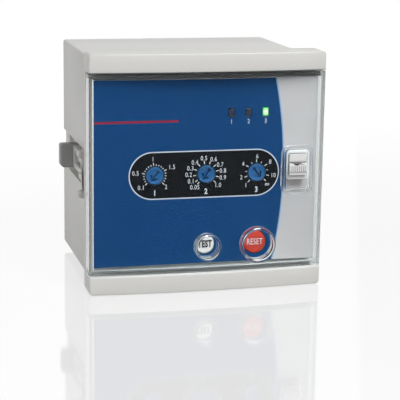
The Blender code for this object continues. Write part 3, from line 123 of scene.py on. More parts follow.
def welded_copy(node, name):
    """A copy of a CAD solid with its loose triangles merged and its flat faces whole again."""
    piece = bpy.data.objects.new(name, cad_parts[node].data.copy())
    piece.data.name = name
    bpy.context.scene.collection.objects.link(piece)
    select_only(piece)
    bpy.ops.object.mode_set(mode="EDIT")
    bpy.ops.mesh.select_all(action="SELECT")
    bpy.ops.mesh.remove_doubles(threshold=WELD_DISTANCE * MM)
    bpy.ops.mesh.dissolve_limited(angle_limit=FLAT_ANGLE)
    bpy.ops.object.mode_set(mode="OBJECT")
    return piece


def round_off(piece, width, segments=2):
    """Rounds every edge sharper than EDGE_ANGLE, and shades what is left smooth."""
    select_only(piece)
    step = piece.modifiers.new("rounded edges", "BEVEL")
    step.width, step.segments = width * MM, segments
    step.limit_method, step.angle_limit = "ANGLE", EDGE_ANGLE
    step.use_clamp_overlap = False
    bpy.ops.object.modifier_apply(modifier=step.name)
    bpy.ops.object.shade_smooth_by_angle(angle=EDGE_ANGLE)
    return piece


def fit(piece, material, body, slot, *nodes):
    """Gives a piece its finish, the body it moves with, and hides the solids it stands for. The slot is not
    used.
    """
    piece.data.materials.clear()
    piece.data.materials.append(material)
    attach(piece, body)
    if nodes:
        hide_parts(*nodes)
    return piece


# Light grey ABS: an even, nearly neutral grey with a satin sheen, the grain drawn at 0.5 mm to show
abs_grey = moulded_plastic("moulded_grey_abs", "#DAD9D6", "#D5D4D1", 0.44, 0.5, 0.012)

bezel = round_off(welded_copy("front_frame", "moulded_front_frame"), FRAME_ROUNDING)
fit(bezel, abs_grey, "case", "grey_abs", "front_frame")


# Rear case
# The square box behind the panel, moulded in the same grey ABS, open at the front for the spigot and
# at the rear for the terminal panel. Each side has the stepped channel that its clip runs in.

CASE_ROUNDING = 0.22

case = round_off(welded_copy("rear_case", "moulded_rear_case"), CASE_ROUNDING)
fit(case, abs_grey, "case", "grey_abs", "rear_case")


# Front plate
# The stiff moulded plate under the printed film, seated on the frame's deck, with four posts behind it
# for the circuit board. A darker grey ABS, seen only as a narrow border round the film.

def refinish(material, *nodes):
    """Puts a material on CAD solids that stay as they are."""
    for node in nodes:
        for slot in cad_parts[node].material_slots:
            slot.material = material


# Darker grey ABS with the same fine grain: a little duller than the frame
plate_grey = moulded_plastic("moulded_plate_grey", "#B4B4AF", "#AEAEA9", 0.5, 0.5, 0.012)
refinish(plate_grey, "front_plate")


# Printed overlay film
# A 0.3 mm polyester film with the fascia printed on its rear: blue field with a curved right edge,
# light grey beyond it, a black panel for the dials and a red stripe. It is stuck to the front plate.

FILM_HALF_X, FILM_HALF_Z, FILM_FRONT, FILM_REAR = 45.7, 37.6, 4.0, 4.3
FILM_CORNER, FILM_ROUNDING, CUTTER_MARGIN = 0.8, 0.04, 1
DIAL_X, DIAL_Z, DIAL_HOLE = (-21.0, 0.0, 21.0), -1.0, 3.85
LAMP_X, LAMP_Z, LAMP_HALF = (10.05, 17.15, 24.25), 23.6, (1.0, 1.5)
RESET_X, TEST_X, BUTTON_Z = 21.0, 0.0, -30.0
RESET_CAP, TEST_CAP = 4.65, 3.85
TONGUE_SLOT = (35.2, -3.4, 38.8, 2.9)
OPENING_GAP = 0.3


def settle(name):
    """Puts the active object's place and turn into its mesh, and names it."""
    bpy.ops.object.transform_apply(location=True, rotation=True, scale=True)
    piece = bpy.context.active_object
    piece.name = piece.data.name = name
    return piece


def add_box(name, low, high):
    """A block between two corners in mm, to be shaped further."""
    bpy.ops.object.select_all(action="DESELECT")
    middle = place(*[(start + end) / 2 for start, end in zip(low, high)])
    size = [(end - start) * MM for start, end in zip(low, high)]
    bpy.ops.mesh.primitive_cube_add(size=1.0, location=middle, scale=size)
    return settle(name)


def pick(piece, elements, test):
    """In edit mode, selects the edges or faces whose middle, in mm from the bezel, passes the test."""
    bpy.ops.mesh.select_all(action="DESELECT")
    bpy.ops.mesh.select_mode(type="EDGE" if elements == "edges" else "FACE")
    shape = bmesh.from_edit_mesh(piece.data)
    for element in getattr(shape, elements):
        middle = sum((corner.co for corner in element.verts), Vector()) / len(element.verts)
        element.select_set(bool(test(element, middle / MM - FRAME_ORIGIN)))
    bmesh.update_edit_mesh(piece.data)


def along(edge, axis):
    """Whether an edge runs along x, y or z."""
    step = (edge.verts[1].co - edge.verts[0].co).normalized()
    return abs(step["xyz".index(axis)]) > 0.999


def bevel_picked(piece, test, width, segments):
    """Rounds the edges that pass the test."""
    select_only(piece)
    bpy.ops.object.mode_set(mode="EDIT")
    pick(piece, "edges", test)
    bpy.ops.mesh.bevel(offset=width * MM, segments=segments, affect="EDGES")
    bpy.ops.object.mode_set(mode="OBJECT")
    return piece


def rounded_box(name, low, high, radius, segments=6):
    """A block whose four edges along y are rounded."""
    return bevel_picked(add_box(name, low, high), lambda edge, middle: along(edge, "y"), radius, segments)


def turn(name, x, z, profile, steps=72):
    """A form turned about an axis along y: (radius, y) in mm, each ring extruded from the one before."""
    (radius, y), *rest = profile
    bpy.ops.object.select_all(action="DESELECT")
    bpy.ops.mesh.primitive_circle_add(
        vertices=steps, radius=radius * MM, location=place(x, y, z), rotation=(math.radians(90), 0, 0))
    piece = settle(name)
    bpy.ops.object.mode_set(mode="EDIT")
    for next_radius, next_y in rest:
        bpy.ops.mesh.extrude_edges_indiv()
        bpy.ops.transform.translate(value=(0, (next_y - y) * MM, 0))
        share = next_radius / radius
        bpy.ops.transform.resize(value=(share, 1, share), center_override=place(x, next_y, z))
        radius, y = next_radius, next_y
    bpy.ops.mesh.select_all(action="SELECT")
    bpy.ops.mesh.fill_holes(sides=0)
    bpy.ops.mesh.normals_make_consistent(inside=False)
    bpy.ops.object.mode_set(mode="OBJECT")
    return piece


def combine(piece, operation, *tools):
    """Cuts, joins or intersects a piece with others, which are used up."""
    select_only(piece)
    for tool in tools:
        step = piece.modifiers.new("combine", "BOOLEAN")
        step.operation, step.solver, step.object = operation, "EXACT", tool
        bpy.ops.object.modifier_apply(modifier=step.name)
        bpy.data.objects.remove(tool)
    return piece


def film_openings(front, rear):
    """Cutters for the dials, the buttons, the lamps and the latch's tongue."""
    cutters = [turn("cutter", x, DIAL_Z, [(DIAL_HOLE, front), (DIAL_HOLE, rear)]) for x in DIAL_X]
    for x, radius in ((RESET_X, RESET_CAP), (TEST_X, TEST_CAP)):
        hole = radius + OPENING_GAP
        cutters.append(turn("cutter", x, BUTTON_Z, [(hole, front), (hole, rear)]))
    half_x, half_z = LAMP_HALF[0] + OPENING_GAP, LAMP_HALF[1] + OPENING_GAP
    for x in LAMP_X:
        cutters.append(add_box(
            "cutter", (x - half_x, front, LAMP_Z - half_z), (x + half_x, rear, LAMP_Z + half_z)))
    left, bottom, right, top = TONGUE_SLOT
    cutters.append(add_box("cutter", (left, front, bottom), (right, rear, top)))
    return cutters


film = rounded_box(
    "printed_overlay_film", (-FILM_HALF_X, FILM_FRONT, -FILM_HALF_Z),
    (FILM_HALF_X, FILM_REAR, FILM_HALF_Z), FILM_CORNER)
combine(film, "DIFFERENCE", *film_openings(FILM_FRONT - CUTTER_MARGIN, FILM_REAR + CUTTER_MARGIN))
round_off(film, FILM_ROUNDING, 1)

# The print, in mm from the middle of the bezel
FIELD_CENTRE_X, FIELD_RADIUS, FIELD_LINE = -145.3, 177.5, 0.55
PANEL_CENTRE, PANEL_HALF, PANEL_LINE = (-0.6, -1.0), (30.55, 9.25), 0.42
STRIPE_Z, STRIPE_HALF, STRIPE_END = 20.7, 0.42, -11.6
PRINT_SOFTNESS = 0.06
FIELD_BLUES, BEYOND_GREY, EDGE_LIGHT_BLUE = ("#0F4072", "#114475"), "#C7C3C3", "#86A9CB"
STRIPE_RED, RIM_WHITE, PANEL_BLACK = "#962839", "#D5DCE6", "#101216"

# Polyester film, screen printed: flat opaque inks under a satin face with a barely visible fine texture
printed_film, film_shader = start_material("screen_printed_polyester", {
    "IOR": 1.5, "Specular IOR Level": 0.1})
film_spot = add_node(printed_film, "TexCoord").outputs["Object"]
film_parts = add_node(printed_film, "SeparateXYZ", {}, {
    0: add_node(printed_film, "VectorMath", {"operation": "MULTIPLY_ADD"}, {
        0: film_spot, 1: (1 / MM,) * 3, 2: -FRAME_ORIGIN}).outputs[0]})

# Distances in mm from the field's curved edge, the dial panel and the stripe, each below nought inside
PANEL_STRAIGHT = PANEL_HALF[0] - PANEL_HALF[1]
found = {"x": film_parts.outputs["X"], "z": film_parts.outputs["Z"]}
for result, operation, first, second in (
    ("from centre", "SUBTRACT", "x", FIELD_CENTRE_X),
    ("across squared", "MULTIPLY", "from centre", "from centre"),
    ("up squared", "MULTIPLY", "z", "z"),
    ("squared", "ADD", "across squared", "up squared"),
    ("radius", "SQRT", "squared", 0.0),
    ("field", "SUBTRACT", "radius", FIELD_RADIUS),
    ("beyond field", "MULTIPLY", "field", -1.0),
    ("from edge", "ABSOLUTE", "field", 0.0),
    ("edge line", "SUBTRACT", "from edge", FIELD_LINE / 2),
    ("panel x", "SUBTRACT", "x", PANEL_CENTRE[0]),
    ("panel across", "ABSOLUTE", "panel x", 0.0),
    ("panel over", "SUBTRACT", "panel across", PANEL_STRAIGHT),
    ("panel end", "MAXIMUM", "panel over", 0.0),
    ("panel z", "SUBTRACT", "z", PANEL_CENTRE[1]),
    ("end squared", "MULTIPLY", "panel end", "panel end"),
    ("rise squared", "MULTIPLY", "panel z", "panel z"),
    ("panel squared", "ADD", "end squared", "rise squared"),
    ("panel reach", "SQRT", "panel squared", 0.0),
    ("panel", "SUBTRACT", "panel reach", PANEL_HALF[1]),
    ("panel rim", "SUBTRACT", "panel", PANEL_LINE),
    ("stripe z", "SUBTRACT", "z", STRIPE_Z),
    ("stripe up", "ABSOLUTE", "stripe z", 0.0),
    ("stripe band", "SUBTRACT", "stripe up", STRIPE_HALF),
    ("stripe run", "SUBTRACT", "x", STRIPE_END),
    ("stripe", "MAXIMUM", "stripe band", "stripe run"),
):
    found[result] = add_node(printed_film, "Math", {"operation": operation}, {
        0: found.get(first, first), 1: found.get(second, second)}).outputs[0]

ink_clouds = add_node(printed_film, "TexNoise", {}, {
    "Vector": film_spot, "Scale": 1 / (9 * MM), "Detail": 2.0})
printed = add_node(printed_film, "Mix", {"data_type": "RGBA"}, {
    0: ink_clouds.outputs["Fac"], 6: linear(FIELD_BLUES[0]), 7: linear(FIELD_BLUES[1])}).outputs[2]
for distance, ink in (("beyond field", BEYOND_GREY), ("edge line", EDGE_LIGHT_BLUE), ("stripe", STRIPE_RED),
                      ("panel rim", RIM_WHITE), ("panel", PANEL_BLACK)):
    cover_share = add_node(printed_film, "MapRange", {}, {
        "Value": found[distance], "From Min": PRINT_SOFTNESS, "From Max": -PRINT_SOFTNESS})
    printed = add_node(printed_film, "Mix", {"data_type": "RGBA"}, {
        0: cover_share.outputs["Result"], 6: printed, 7: linear(ink)}).outputs[2]
join(printed_film, printed, film_shader.inputs["Base Color"])
film_grain = add_node(printed_film, "TexNoise", {}, {
    "Vector": film_spot, "Scale": 1 / (0.4 * MM), "Detail": 2.0})
film_shine = add_node(printed_film, "MapRange", {}, {
    "Value": film_grain.outputs["Fac"], "To Min": 0.34, "To Max": 0.46})
film_relief = add_node(printed_film, "Bump", {}, {
    "Height": film_grain.outputs["Fac"], "Strength": 0.4, "Distance": 0.006 * MM})
join(printed_film, film_shine.outputs["Result"], film_shader.inputs["Roughness"])
join(printed_film, film_relief.outputs["Normal"], film_shader.inputs["Normal"])
fit(film, printed_film, "case", "fascia_film", "fascia_overlay")


# Scales, numbers and captions
# White ink screen printed on the film: ticks round each dial, their numbers, and a plain number under
# each dial and lamp. Modelled as a layer 0.03 mm thick on the film's face.

INK_THICKNESS = 0.03
TICK_WIDTH, TICK_START, LONG_TICK_END, SHORT_TICK_END = 0.32, 4.15, 5.35, 4.7
NUMBER_HEIGHT, CAPTION_HEIGHT, LAMP_NUMBER_HEIGHT = 1.85, 2.2, 1.9
CAPTION_DROP, LAMP_NUMBER_DROP = 7.1, 3.7
DIGIT_SHARE, DIGIT_NARROWING = 0.72, 0.82
SCALES = {
    1: {"ticks": [(227 + step * 14.0, step in (0, 4, 9, 14, 19)) for step in range(20)],
        "numbers": {"0.1": (-5.5, -4.7), "0.5": (-7.8, 1.2), "1": (-0.8, 6.7), "1.5": (6.9, 3.3),
                    "2": (4.6, -4.7)}},
    2: {"ticks": [(222, True), (236.2, True)] + [(236.2 + step * 28.42, True) for step in range(1, 10)],
        "numbers": {"0.05": (-4.6, -5.3), "0.1": (-6.2, -2.8), "0.2": (-7.2, -0.1), "0.3": (-6.5, 2.5),
                    "0.4": (-4.7, 4.8), "0.5": (-1.0, 6.4), "0.6": (3.0, 5.9), "0.7": (5.7, 3.6),
                    "0.8": (6.9, 1.1), "0.9": (6.9, -1.7), "1.0": (4.9, -4.7)}},
    3: {"ticks": [(223 + step * 27.0, step in (0, 1, 3, 5, 7, 9, 10)) for step in range(11)],
        "numbers": {"1": (-4.4, -5.2), "2": (-6.4, -1.9), "4": (-5.7, 3.6), "6": (0.1, 6.5), "8": (5.6, 4.1),
                    "10": (7.0, -1.5), "∞": (4.5, -5.1)}},
}


def print_words(words, x, y, z, height, bold=0.0, narrowing=DIGIT_NARROWING):
    """Words as a thin layer that faces forward, centred on (x, z), its rear at y."""
    bpy.ops.object.select_all(action="DESELECT")
    bpy.ops.object.text_add(
        location=place(x, y - INK_THICKNESS / 2, z), rotation=(math.radians(90), 0, 0))
    letters = bpy.context.active_object
    letters.data.body = words
    letters.data.align_x, letters.data.align_y = "CENTER", "CENTER"
    letters.data.size = height * MM / DIGIT_SHARE
    letters.data.offset = bold * letters.data.size
    letters.data.extrude = INK_THICKNESS * MM / 2
    letters.data.resolution_u = 3
    letters.scale.x, letters.data.space_character = narrowing, 1.1
    bpy.ops.object.convert(target="MESH")
    return settle("words")


def print_tick(x, z, angle, end):
    """One tick of a dial's scale, at an angle clockwise from the top."""
    bpy.ops.object.select_all(action="DESELECT")
    middle, length = (TICK_START + end) / 2, end - TICK_START
    turned = math.radians(angle)
    bpy.ops.mesh.primitive_cube_add(
        size=1.0, rotation=(0, turned, 0), scale=(TICK_WIDTH * MM, INK_THICKNESS * MM, length * MM),
        location=place(
            x + middle * math.sin(turned), FILM_FRONT - INK_THICKNESS / 2, z + middle * math.cos(turned)))
    return settle("tick")


def join_all(name, parts):
    """Joins parts that touch nothing else into one piece."""
    bpy.ops.object.select_all(action="DESELECT")
    for part in parts:
        part.select_set(True)
    bpy.context.view_layer.objects.active = parts[0]
    bpy.ops.object.join()
    parts[0].name = parts[0].data.name = name
    return parts[0]


# Screen-printing ink: opaque white with a dry, slightly uneven face
white_ink, ink_shader = start_material("screen_printed_white_ink", {"IOR": 1.45})
ink_spot = add_node(white_ink, "TexCoord").outputs["Object"]
ink_noise = add_node(white_ink, "TexNoise", {}, {"Vector": ink_spot, "Scale": 1 / (0.8 * MM), "Detail": 2.0})
ink_tint = add_node(white_ink, "Mix", {"data_type": "RGBA"}, {
    0: ink_noise.outputs["Fac"], 6: linear("#D9DDE2"), 7: linear("#E6E9EC")})
ink_dryness = add_node(white_ink, "MapRange", {}, {
    "Value": ink_noise.outputs["Fac"], "To Min": 0.45, "To Max": 0.65})
join(white_ink, ink_tint.outputs[2], ink_shader.inputs["Base Color"])
join(white_ink, ink_dryness.outputs["Result"], ink_shader.inputs["Roughness"])

for number, x in enumerate(DIAL_X, 1):
    marks = [print_tick(x, DIAL_Z, angle, LONG_TICK_END if is_long else SHORT_TICK_END)
             for angle, is_long in SCALES[number]["ticks"]]
    for words, (across, up) in SCALES[number]["numbers"].items():
        marks.append(print_words(words, x + across, FILM_FRONT, DIAL_Z + up, NUMBER_HEIGHT))
    marks.append(print_words(str(number), x, FILM_FRONT, DIAL_Z - CAPTION_DROP, CAPTION_HEIGHT, 0.03))
    fit(join_all(f"printed_scale_{number}", marks), white_ink, "case", "fascia_film")
lamp_numbers = [print_words(str(number), x, FILM_FRONT, LAMP_Z - LAMP_NUMBER_DROP, LAMP_NUMBER_HEIGHT)
                for number, x in enumerate(LAMP_X, 1)]
fit(join_all("printed_lamp_numbers", lamp_numbers), white_ink, "case", "fascia_film")


# Setting dials
# Three turned caps on the potentiometers' shafts, each with an arrow slot for a screwdriver. Blue
# polyamide, moulded with a crisp edge; they show through holes in the film, in front of it by 0.4 mm.

DIAL_RADIUS, DIAL_FRONT, DIAL_SHOULDER, SHAFT_RADIUS, SHAFT_END = 3.55, 3.6, 7.0, 1.5, 10.8
ARROW_HEADINGS = (-142.5, -142.5, 142.5)
ARROW_WIDTH, ARROW_LENGTH, ARROW_DEPTH, BARB_LENGTH = 0.7, 5.0, 1.6, 2.2
TAIL_WIDTH, TAIL_LENGTH, BARB_ANGLE = 1.3, 0.9, 42
DIAL_DISH_RADIUS, DIAL_DISH, DIAL_RIM_INNER, DIAL_RIM_OUTER, DIAL_CHAMFER = 2.95, 0.1, 3.1, 3.35, 0.2
DIAL_BODIES = ("dial_left", "dial_middle", "dial_right")

# Polyamide: deep blue, slightly translucent at the edges, with a soft silky shine
dial_blue = moulded_plastic("moulded_blue_polyamide", "#085A92", "#07568B", 0.36, 0.4, 0.006, {
    "Subsurface Weight": 0.05, "Subsurface Scale": 0.0008})


def moving(x, y, z):
    """A move in mm."""
    return Matrix.Translation(Vector((x, y, z)) * MM)


def turning(degrees, about):
    """A turn clockwise, seen from the front, about an axis along y through a point in mm."""
    centre = place(*about)
    turn_about_y = Matrix.Rotation(math.radians(degrees), 4, "Y")
    return Matrix.Translation(centre) @ turn_about_y @ Matrix.Translation(-centre)


def arrow_cutter(x, z, heading):
    """The arrow slot, drawn pointing up through the dial's middle and then turned to its heading."""
    front, rear, half, tip = -DIAL_FRONT, ARROW_DEPTH, ARROW_WIDTH / 2, ARROW_LENGTH / 2
    arrow = add_box("arrow", (-half, front, -tip), (half, rear, tip))
    tail = add_box("arrow", (-TAIL_WIDTH / 2, front, -tip), (TAIL_WIDTH / 2, rear, TAIL_LENGTH - tip))
    barbs = []
    for side in (-1, 1):
        barb = add_box("arrow", (-half, front, -BARB_LENGTH), (half, rear, 0))
        barb.data.transform(turning(side * BARB_ANGLE, (0, 0, 0)))
        barb.data.transform(moving(0, 0, tip - half))
        barbs.append(barb)
    combine(arrow, "UNION", tail, *barbs)
    arrow.data.transform(turning(heading, (0, 0, 0)))
    arrow.data.transform(moving(x, DIAL_FRONT, z))
    return arrow


for number, (x, heading, body) in enumerate(zip(DIAL_X, ARROW_HEADINGS, DIAL_BODIES), 1):
    dial = turn(f"setting_dial_{number}", x, DIAL_Z, [
        (DIAL_DISH_RADIUS, DIAL_FRONT + DIAL_DISH), (DIAL_RIM_INNER, DIAL_FRONT),
        (DIAL_RIM_OUTER, DIAL_FRONT), (DIAL_RADIUS, DIAL_FRONT + DIAL_CHAMFER), (DIAL_RADIUS, DIAL_SHOULDER),
        (SHAFT_RADIUS, DIAL_SHOULDER), (SHAFT_RADIUS, SHAFT_END)])
    combine(dial, "DIFFERENCE", arrow_cutter(x, DIAL_Z, heading))
    round_off(dial, 0.05)
    fit(dial, dial_blue, body, "dial_blue", f"dial_{number}")


# Potentiometers
# The small square trimmers that the dials turn, soldered to the front circuit board behind the plate.
# Black glass-filled polyester, moulded, with a dull surface.

# Glass-filled polyester: near black, with an even, dull grain
glass_filled_black = moulded_plastic("moulded_black_polyester", "#1C1D1F", "#17181A", 0.5, 0.35, 0.012)
refinish(glass_filled_black, "potentiometer_1", "potentiometer_2", "potentiometer_3")


# Indicator lamps
# Three flat 2 by 3 mm light-emitting diodes, flush with the film, cast in tinted epoxy with rounded
# front edges. The first two are dark; the third is lit and glows green through its lens.

LAMP_FRONT, LAMP_REAR, LAMP_FOOT, LAMP_FOOT_START = 4.0, 14.0, 0.6, 12.0
LAMP_CORNER, LAMP_EDGE, GLOW_RADIUS = 0.3, 0.2, 1.6

# Tinted epoxy: smooth and glassy, nearly black when it isn't lit
dark_epoxy = moulded_plastic("cast_dark_epoxy", "#151838", "#11142C", 0.18, 0.8, 0.002)
# Lit epoxy: pale green all over, brightest in the middle
lit_epoxy, lit_shader = start_material("cast_lit_green_epoxy", {
    "Roughness": 0.2, "IOR": 1.54, "Emission Strength": 0.9})
lit_spot = add_node(lit_epoxy, "TexCoord").outputs["Object"]
lit_offset = add_node(lit_epoxy, "Mapping", {}, {
    "Vector": lit_spot, "Location": -place(LAMP_X[2], LAMP_FRONT, LAMP_Z) / (GLOW_RADIUS * MM),
    "Scale": (1 / (GLOW_RADIUS * MM),) * 3})
lit_glow = add_node(lit_epoxy, "TexGradient", {"gradient_type": "SPHERICAL"}, {
    "Vector": lit_offset.outputs["Vector"]})
lit_tint = add_node(lit_epoxy, "Mix", {"data_type": "RGBA"}, {
    0: lit_glow.outputs["Fac"], 6: linear("#4FC457"), 7: linear("#D8FFC8")})
join(lit_epoxy, lit_tint.outputs[2], lit_shader.inputs["Base Color"])
join(lit_epoxy, lit_tint.outputs[2], lit_shader.inputs["Emission Color"])

for number, x in enumerate(LAMP_X, 1):
    half_x, half_z = LAMP_HALF
    lens = rounded_box(f"lamp_lens_{number}", (x - half_x, LAMP_FRONT, LAMP_Z - half_z),
                       (x + half_x, LAMP_REAR, LAMP_Z + half_z), LAMP_CORNER, 3)
    foot = add_box("foot", (x - half_x - LAMP_FOOT, LAMP_FOOT_START, LAMP_Z - half_z - LAMP_FOOT),
                   (x + half_x + LAMP_FOOT, LAMP_REAR, LAMP_Z + half_z + LAMP_FOOT))
    combine(lens, "UNION", foot)
    bevel_picked(lens, lambda edge, middle: middle.y < LAMP_FRONT + 0.01, LAMP_EDGE, 3)
    round_off(lens, 0.05, 1)
    finish, slot = (lit_epoxy, "lamp_green") if number == 3 else (dark_epoxy, "lamp_dark")
    fit(lens, finish, "case", slot, f"lamp_{number}")


# Push buttons
# Two round caps with a slightly dished face, a lip that keeps them behind the plate, and a stem that
# presses the switch. Glossy ABS, red for reset and white for test, each with its word printed on it.

BUTTON_FRONT, BUTTON_LIP_FRONT, BUTTON_LIP_REAR, BUTTON_STEM_END = 3.8, 7.0, 7.9, 11.2
BUTTON_LIP, BUTTON_STEM, BUTTON_EDGE, BUTTON_DISH = 0.9, 1.75, 0.45, 0.12
RESET_WORD, TEST_WORD = (2.6, 0.0, 0.65), (2.9, 0.045, 0.62)

# Glossy ABS from a polished tool: a deep even colour with a clear highlight
gloss_red = moulded_plastic("polished_red_abs", "#C8341F", "#BE2E1A", 0.24, 1.2, 0.002, {
    "Subsurface Weight": 0.06, "Subsurface Scale": 0.001})
gloss_white = moulded_plastic("polished_white_abs", "#E9E9E6", "#E2E2DF", 0.24, 1.2, 0.002)
# Black pad-printing ink: dry and flat
black_ink = moulded_plastic("pad_printed_black_ink", "#121214", "#17171A", 0.55, 0.6, 0.004)

for label, x, radius, lettering, finish, ink, slot in (
    ("reset", RESET_X, RESET_CAP, RESET_WORD, gloss_red, white_ink, "red_abs"),
    ("test", TEST_X, TEST_CAP, TEST_WORD, gloss_white, black_ink, "white_abs"),
):
    crown = [(radius * share, BUTTON_FRONT + BUTTON_DISH * (1 - share ** 2)) for share in (0.25, 0.5, 0.75)]
    cap = turn(f"{label}_button_cap", x, BUTTON_Z, crown + [
        (radius - BUTTON_EDGE, BUTTON_FRONT), (radius - BUTTON_EDGE * 0.3, BUTTON_FRONT + BUTTON_EDGE * 0.3),
        (radius, BUTTON_FRONT + BUTTON_EDGE), (radius, BUTTON_LIP_FRONT),
        (radius + BUTTON_LIP, BUTTON_LIP_FRONT), (radius + BUTTON_LIP, BUTTON_LIP_REAR),
        (BUTTON_STEM, BUTTON_LIP_REAR), (BUTTON_STEM, BUTTON_STEM_END)])
    round_off(cap, 0.04, 1)
    fit(cap, finish, label, slot, f"{label}_button")
    word = print_words(label.upper(), x, BUTTON_FRONT + 0.02, BUTTON_Z, *lettering)
    word.name = word.data.name = f"{label}_button_word"
    fit(word, ink, label, slot)
refinish(glass_filled_black, "reset_switch", "test_switch")


# Clear hinged cover
# One moulding in clear polycarbonate: a bowed front, side walls back to the flange, a hinge pin at each
# left corner, a collar round each button and the tub that the latch slides in. Glass clear, polished.

COVER_HALF_X, COVER_HALF_Z, COVER_FRONT, COVER_REAR = 48.0, 40.1, -0.3, 8.0
COVER_INNER_X, COVER_INNER_Z, COVER_LINING = 46.4, 38.3, 1.5
BOW, BOW_HALF_WIDTH, BOW_STEPS = 2.2, 48.0, 1536
BOW_RADIUS = (BOW_HALF_WIDTH ** 2 + BOW ** 2) / (2 * BOW)
COLLAR_PROUD, COLLAR_REAR = 0.4, 2.0
COLLARS = ((RESET_X, 7.2, 1.1), (TEST_X, 5.4, 0.9))
TUB_MIDDLE, TUB_HALF, TUB_WALL, TUB_CORNER, TUB_REAR = (37.2, 0.15), (6.6, 9.75), 1.4, 3.0, 2.4
TUB_FLOOR_DEPTH, TUB_FLOOR = 1.0, 0.6
HINGE_X, HINGE_Y, HINGE_PIN, HINGE_PIN_END, HINGE_PIN_LENGTH = -46.4, 6.4, 0.6, 41.6, 2.4
COVER_EDGE, CAVITY_EDGE, HINGE_SIDE_EDGE, COVER_ROUNDING = 1.0, 0.5, 1.6, 0.1
WINDOW_HALF_X, WINDOW_BOTTOM, WINDOW_TOP = 4.1, -6.8, 7.5
# Light lost inside the plastic, per metre, so that only long paths through edges and walls darken
ABSORPTION = 150.0


def bow_at(x):
    """How far the bow stands ahead of its ends at x; a negative y."""
    return BOW_RADIUS - BOW - math.sqrt(BOW_RADIUS ** 2 - x ** 2)


def bowed_box(name, half_x, half_z, front, rear, edge, segments):
    """A block with the front cut to the bow, and the front's edges rounded."""
    piece = add_box(name, (-half_x, front - BOW - 1, -half_z), (half_x, rear, half_z))
    bpy.ops.object.select_all(action="DESELECT")
    bpy.ops.mesh.primitive_cylinder_add(
        vertices=BOW_STEPS, radius=BOW_RADIUS * MM, depth=3 * half_z * MM,
        location=place(0, front - BOW + BOW_RADIUS, 0), rotation=(0, 0, math.pi / BOW_STEPS))
    combine(piece, "INTERSECT", settle("bow"))
    return bevel_picked(
        piece,
        lambda e, middle: middle.y < (front + rear) / 2 and not along(e, "y") and e.calc_face_angle(0) > 1.0,
        edge, segments)


cover = bowed_box("clear_cover_moulding", COVER_HALF_X, COVER_HALF_Z, COVER_FRONT, COVER_REAR, COVER_EDGE, 5)
bevel_picked(
    cover, lambda e, middle: along(e, "z") and middle.y > COVER_REAR - 0.01 and middle.x < 0,
    HINGE_SIDE_EDGE, 6)
combine(cover, "DIFFERENCE", bowed_box(
    "cavity", COVER_INNER_X, COVER_INNER_Z, COVER_LINING, COVER_REAR + 2, CAVITY_EDGE, 3))
bores = []
for x, radius, wall in COLLARS:
    front = COVER_FRONT + bow_at(x) - COLLAR_PROUD
    bore, mouth = radius - wall, radius - wall + COLLAR_PROUD
    combine(cover, "UNION", turn("collar", x, BUTTON_Z, [
        (radius - 0.4, front), (radius - 0.12, front + 0.12),
        (radius, front + 0.4), (radius, COLLAR_REAR)], 96))
    bores.append(turn("bore", x, BUTTON_Z, [
        (mouth + 0.4, front - 0.4), (mouth, front), (bore, front + 0.5), (bore, COLLAR_REAR + 1)], 96))
tub_floor = COVER_FRONT + bow_at(TUB_MIDDLE[0]) + TUB_FLOOR_DEPTH
tub_x, tub_z = TUB_MIDDLE
inner_x, inner_z = TUB_HALF[0] - TUB_WALL, TUB_HALF[1] - TUB_WALL
combine(cover, "UNION", rounded_box(
    "tub", (tub_x - TUB_HALF[0], tub_floor, tub_z - TUB_HALF[1]),
    (tub_x + TUB_HALF[0], TUB_REAR, tub_z + TUB_HALF[1]), TUB_CORNER, 8))
for start, end in ((-6.0, tub_floor), (tub_floor + TUB_FLOOR, TUB_REAR + 1)):
    bores.append(rounded_box(
        "recess", (tub_x - inner_x, start, tub_z - inner_z), (tub_x + inner_x, end, tub_z + inner_z),
        TUB_CORNER - TUB_WALL, 8))
bores.append(add_box("window", (tub_x - WINDOW_HALF_X, tub_floor - 1, WINDOW_BOTTOM),
                     (tub_x + WINDOW_HALF_X, tub_floor + TUB_FLOOR + 1, WINDOW_TOP)))
for side in (-1, 1):
    bpy.ops.object.select_all(action="DESELECT")
    bpy.ops.mesh.primitive_cylinder_add(
        vertices=32, radius=HINGE_PIN * MM, depth=HINGE_PIN_LENGTH * MM,
        location=place(HINGE_X, HINGE_Y, side * (HINGE_PIN_END - HINGE_PIN_LENGTH / 2)))
    combine(cover, "UNION", settle("pin"))
combine(cover, "DIFFERENCE", *bores)
round_off(cover, COVER_ROUNDING, 2)
for face in cover.data.polygons:
    # The bowed front and its lining are fine parallel strips, and they and the walls are shaded flat,
    # so that what lies behind them shows unbent
    across, deep, up = map(abs, face.normal)
    if deep > 0.995 or max(across, up) > 0.999 and face.area > 4 * MM ** 2:
        face.use_smooth = False


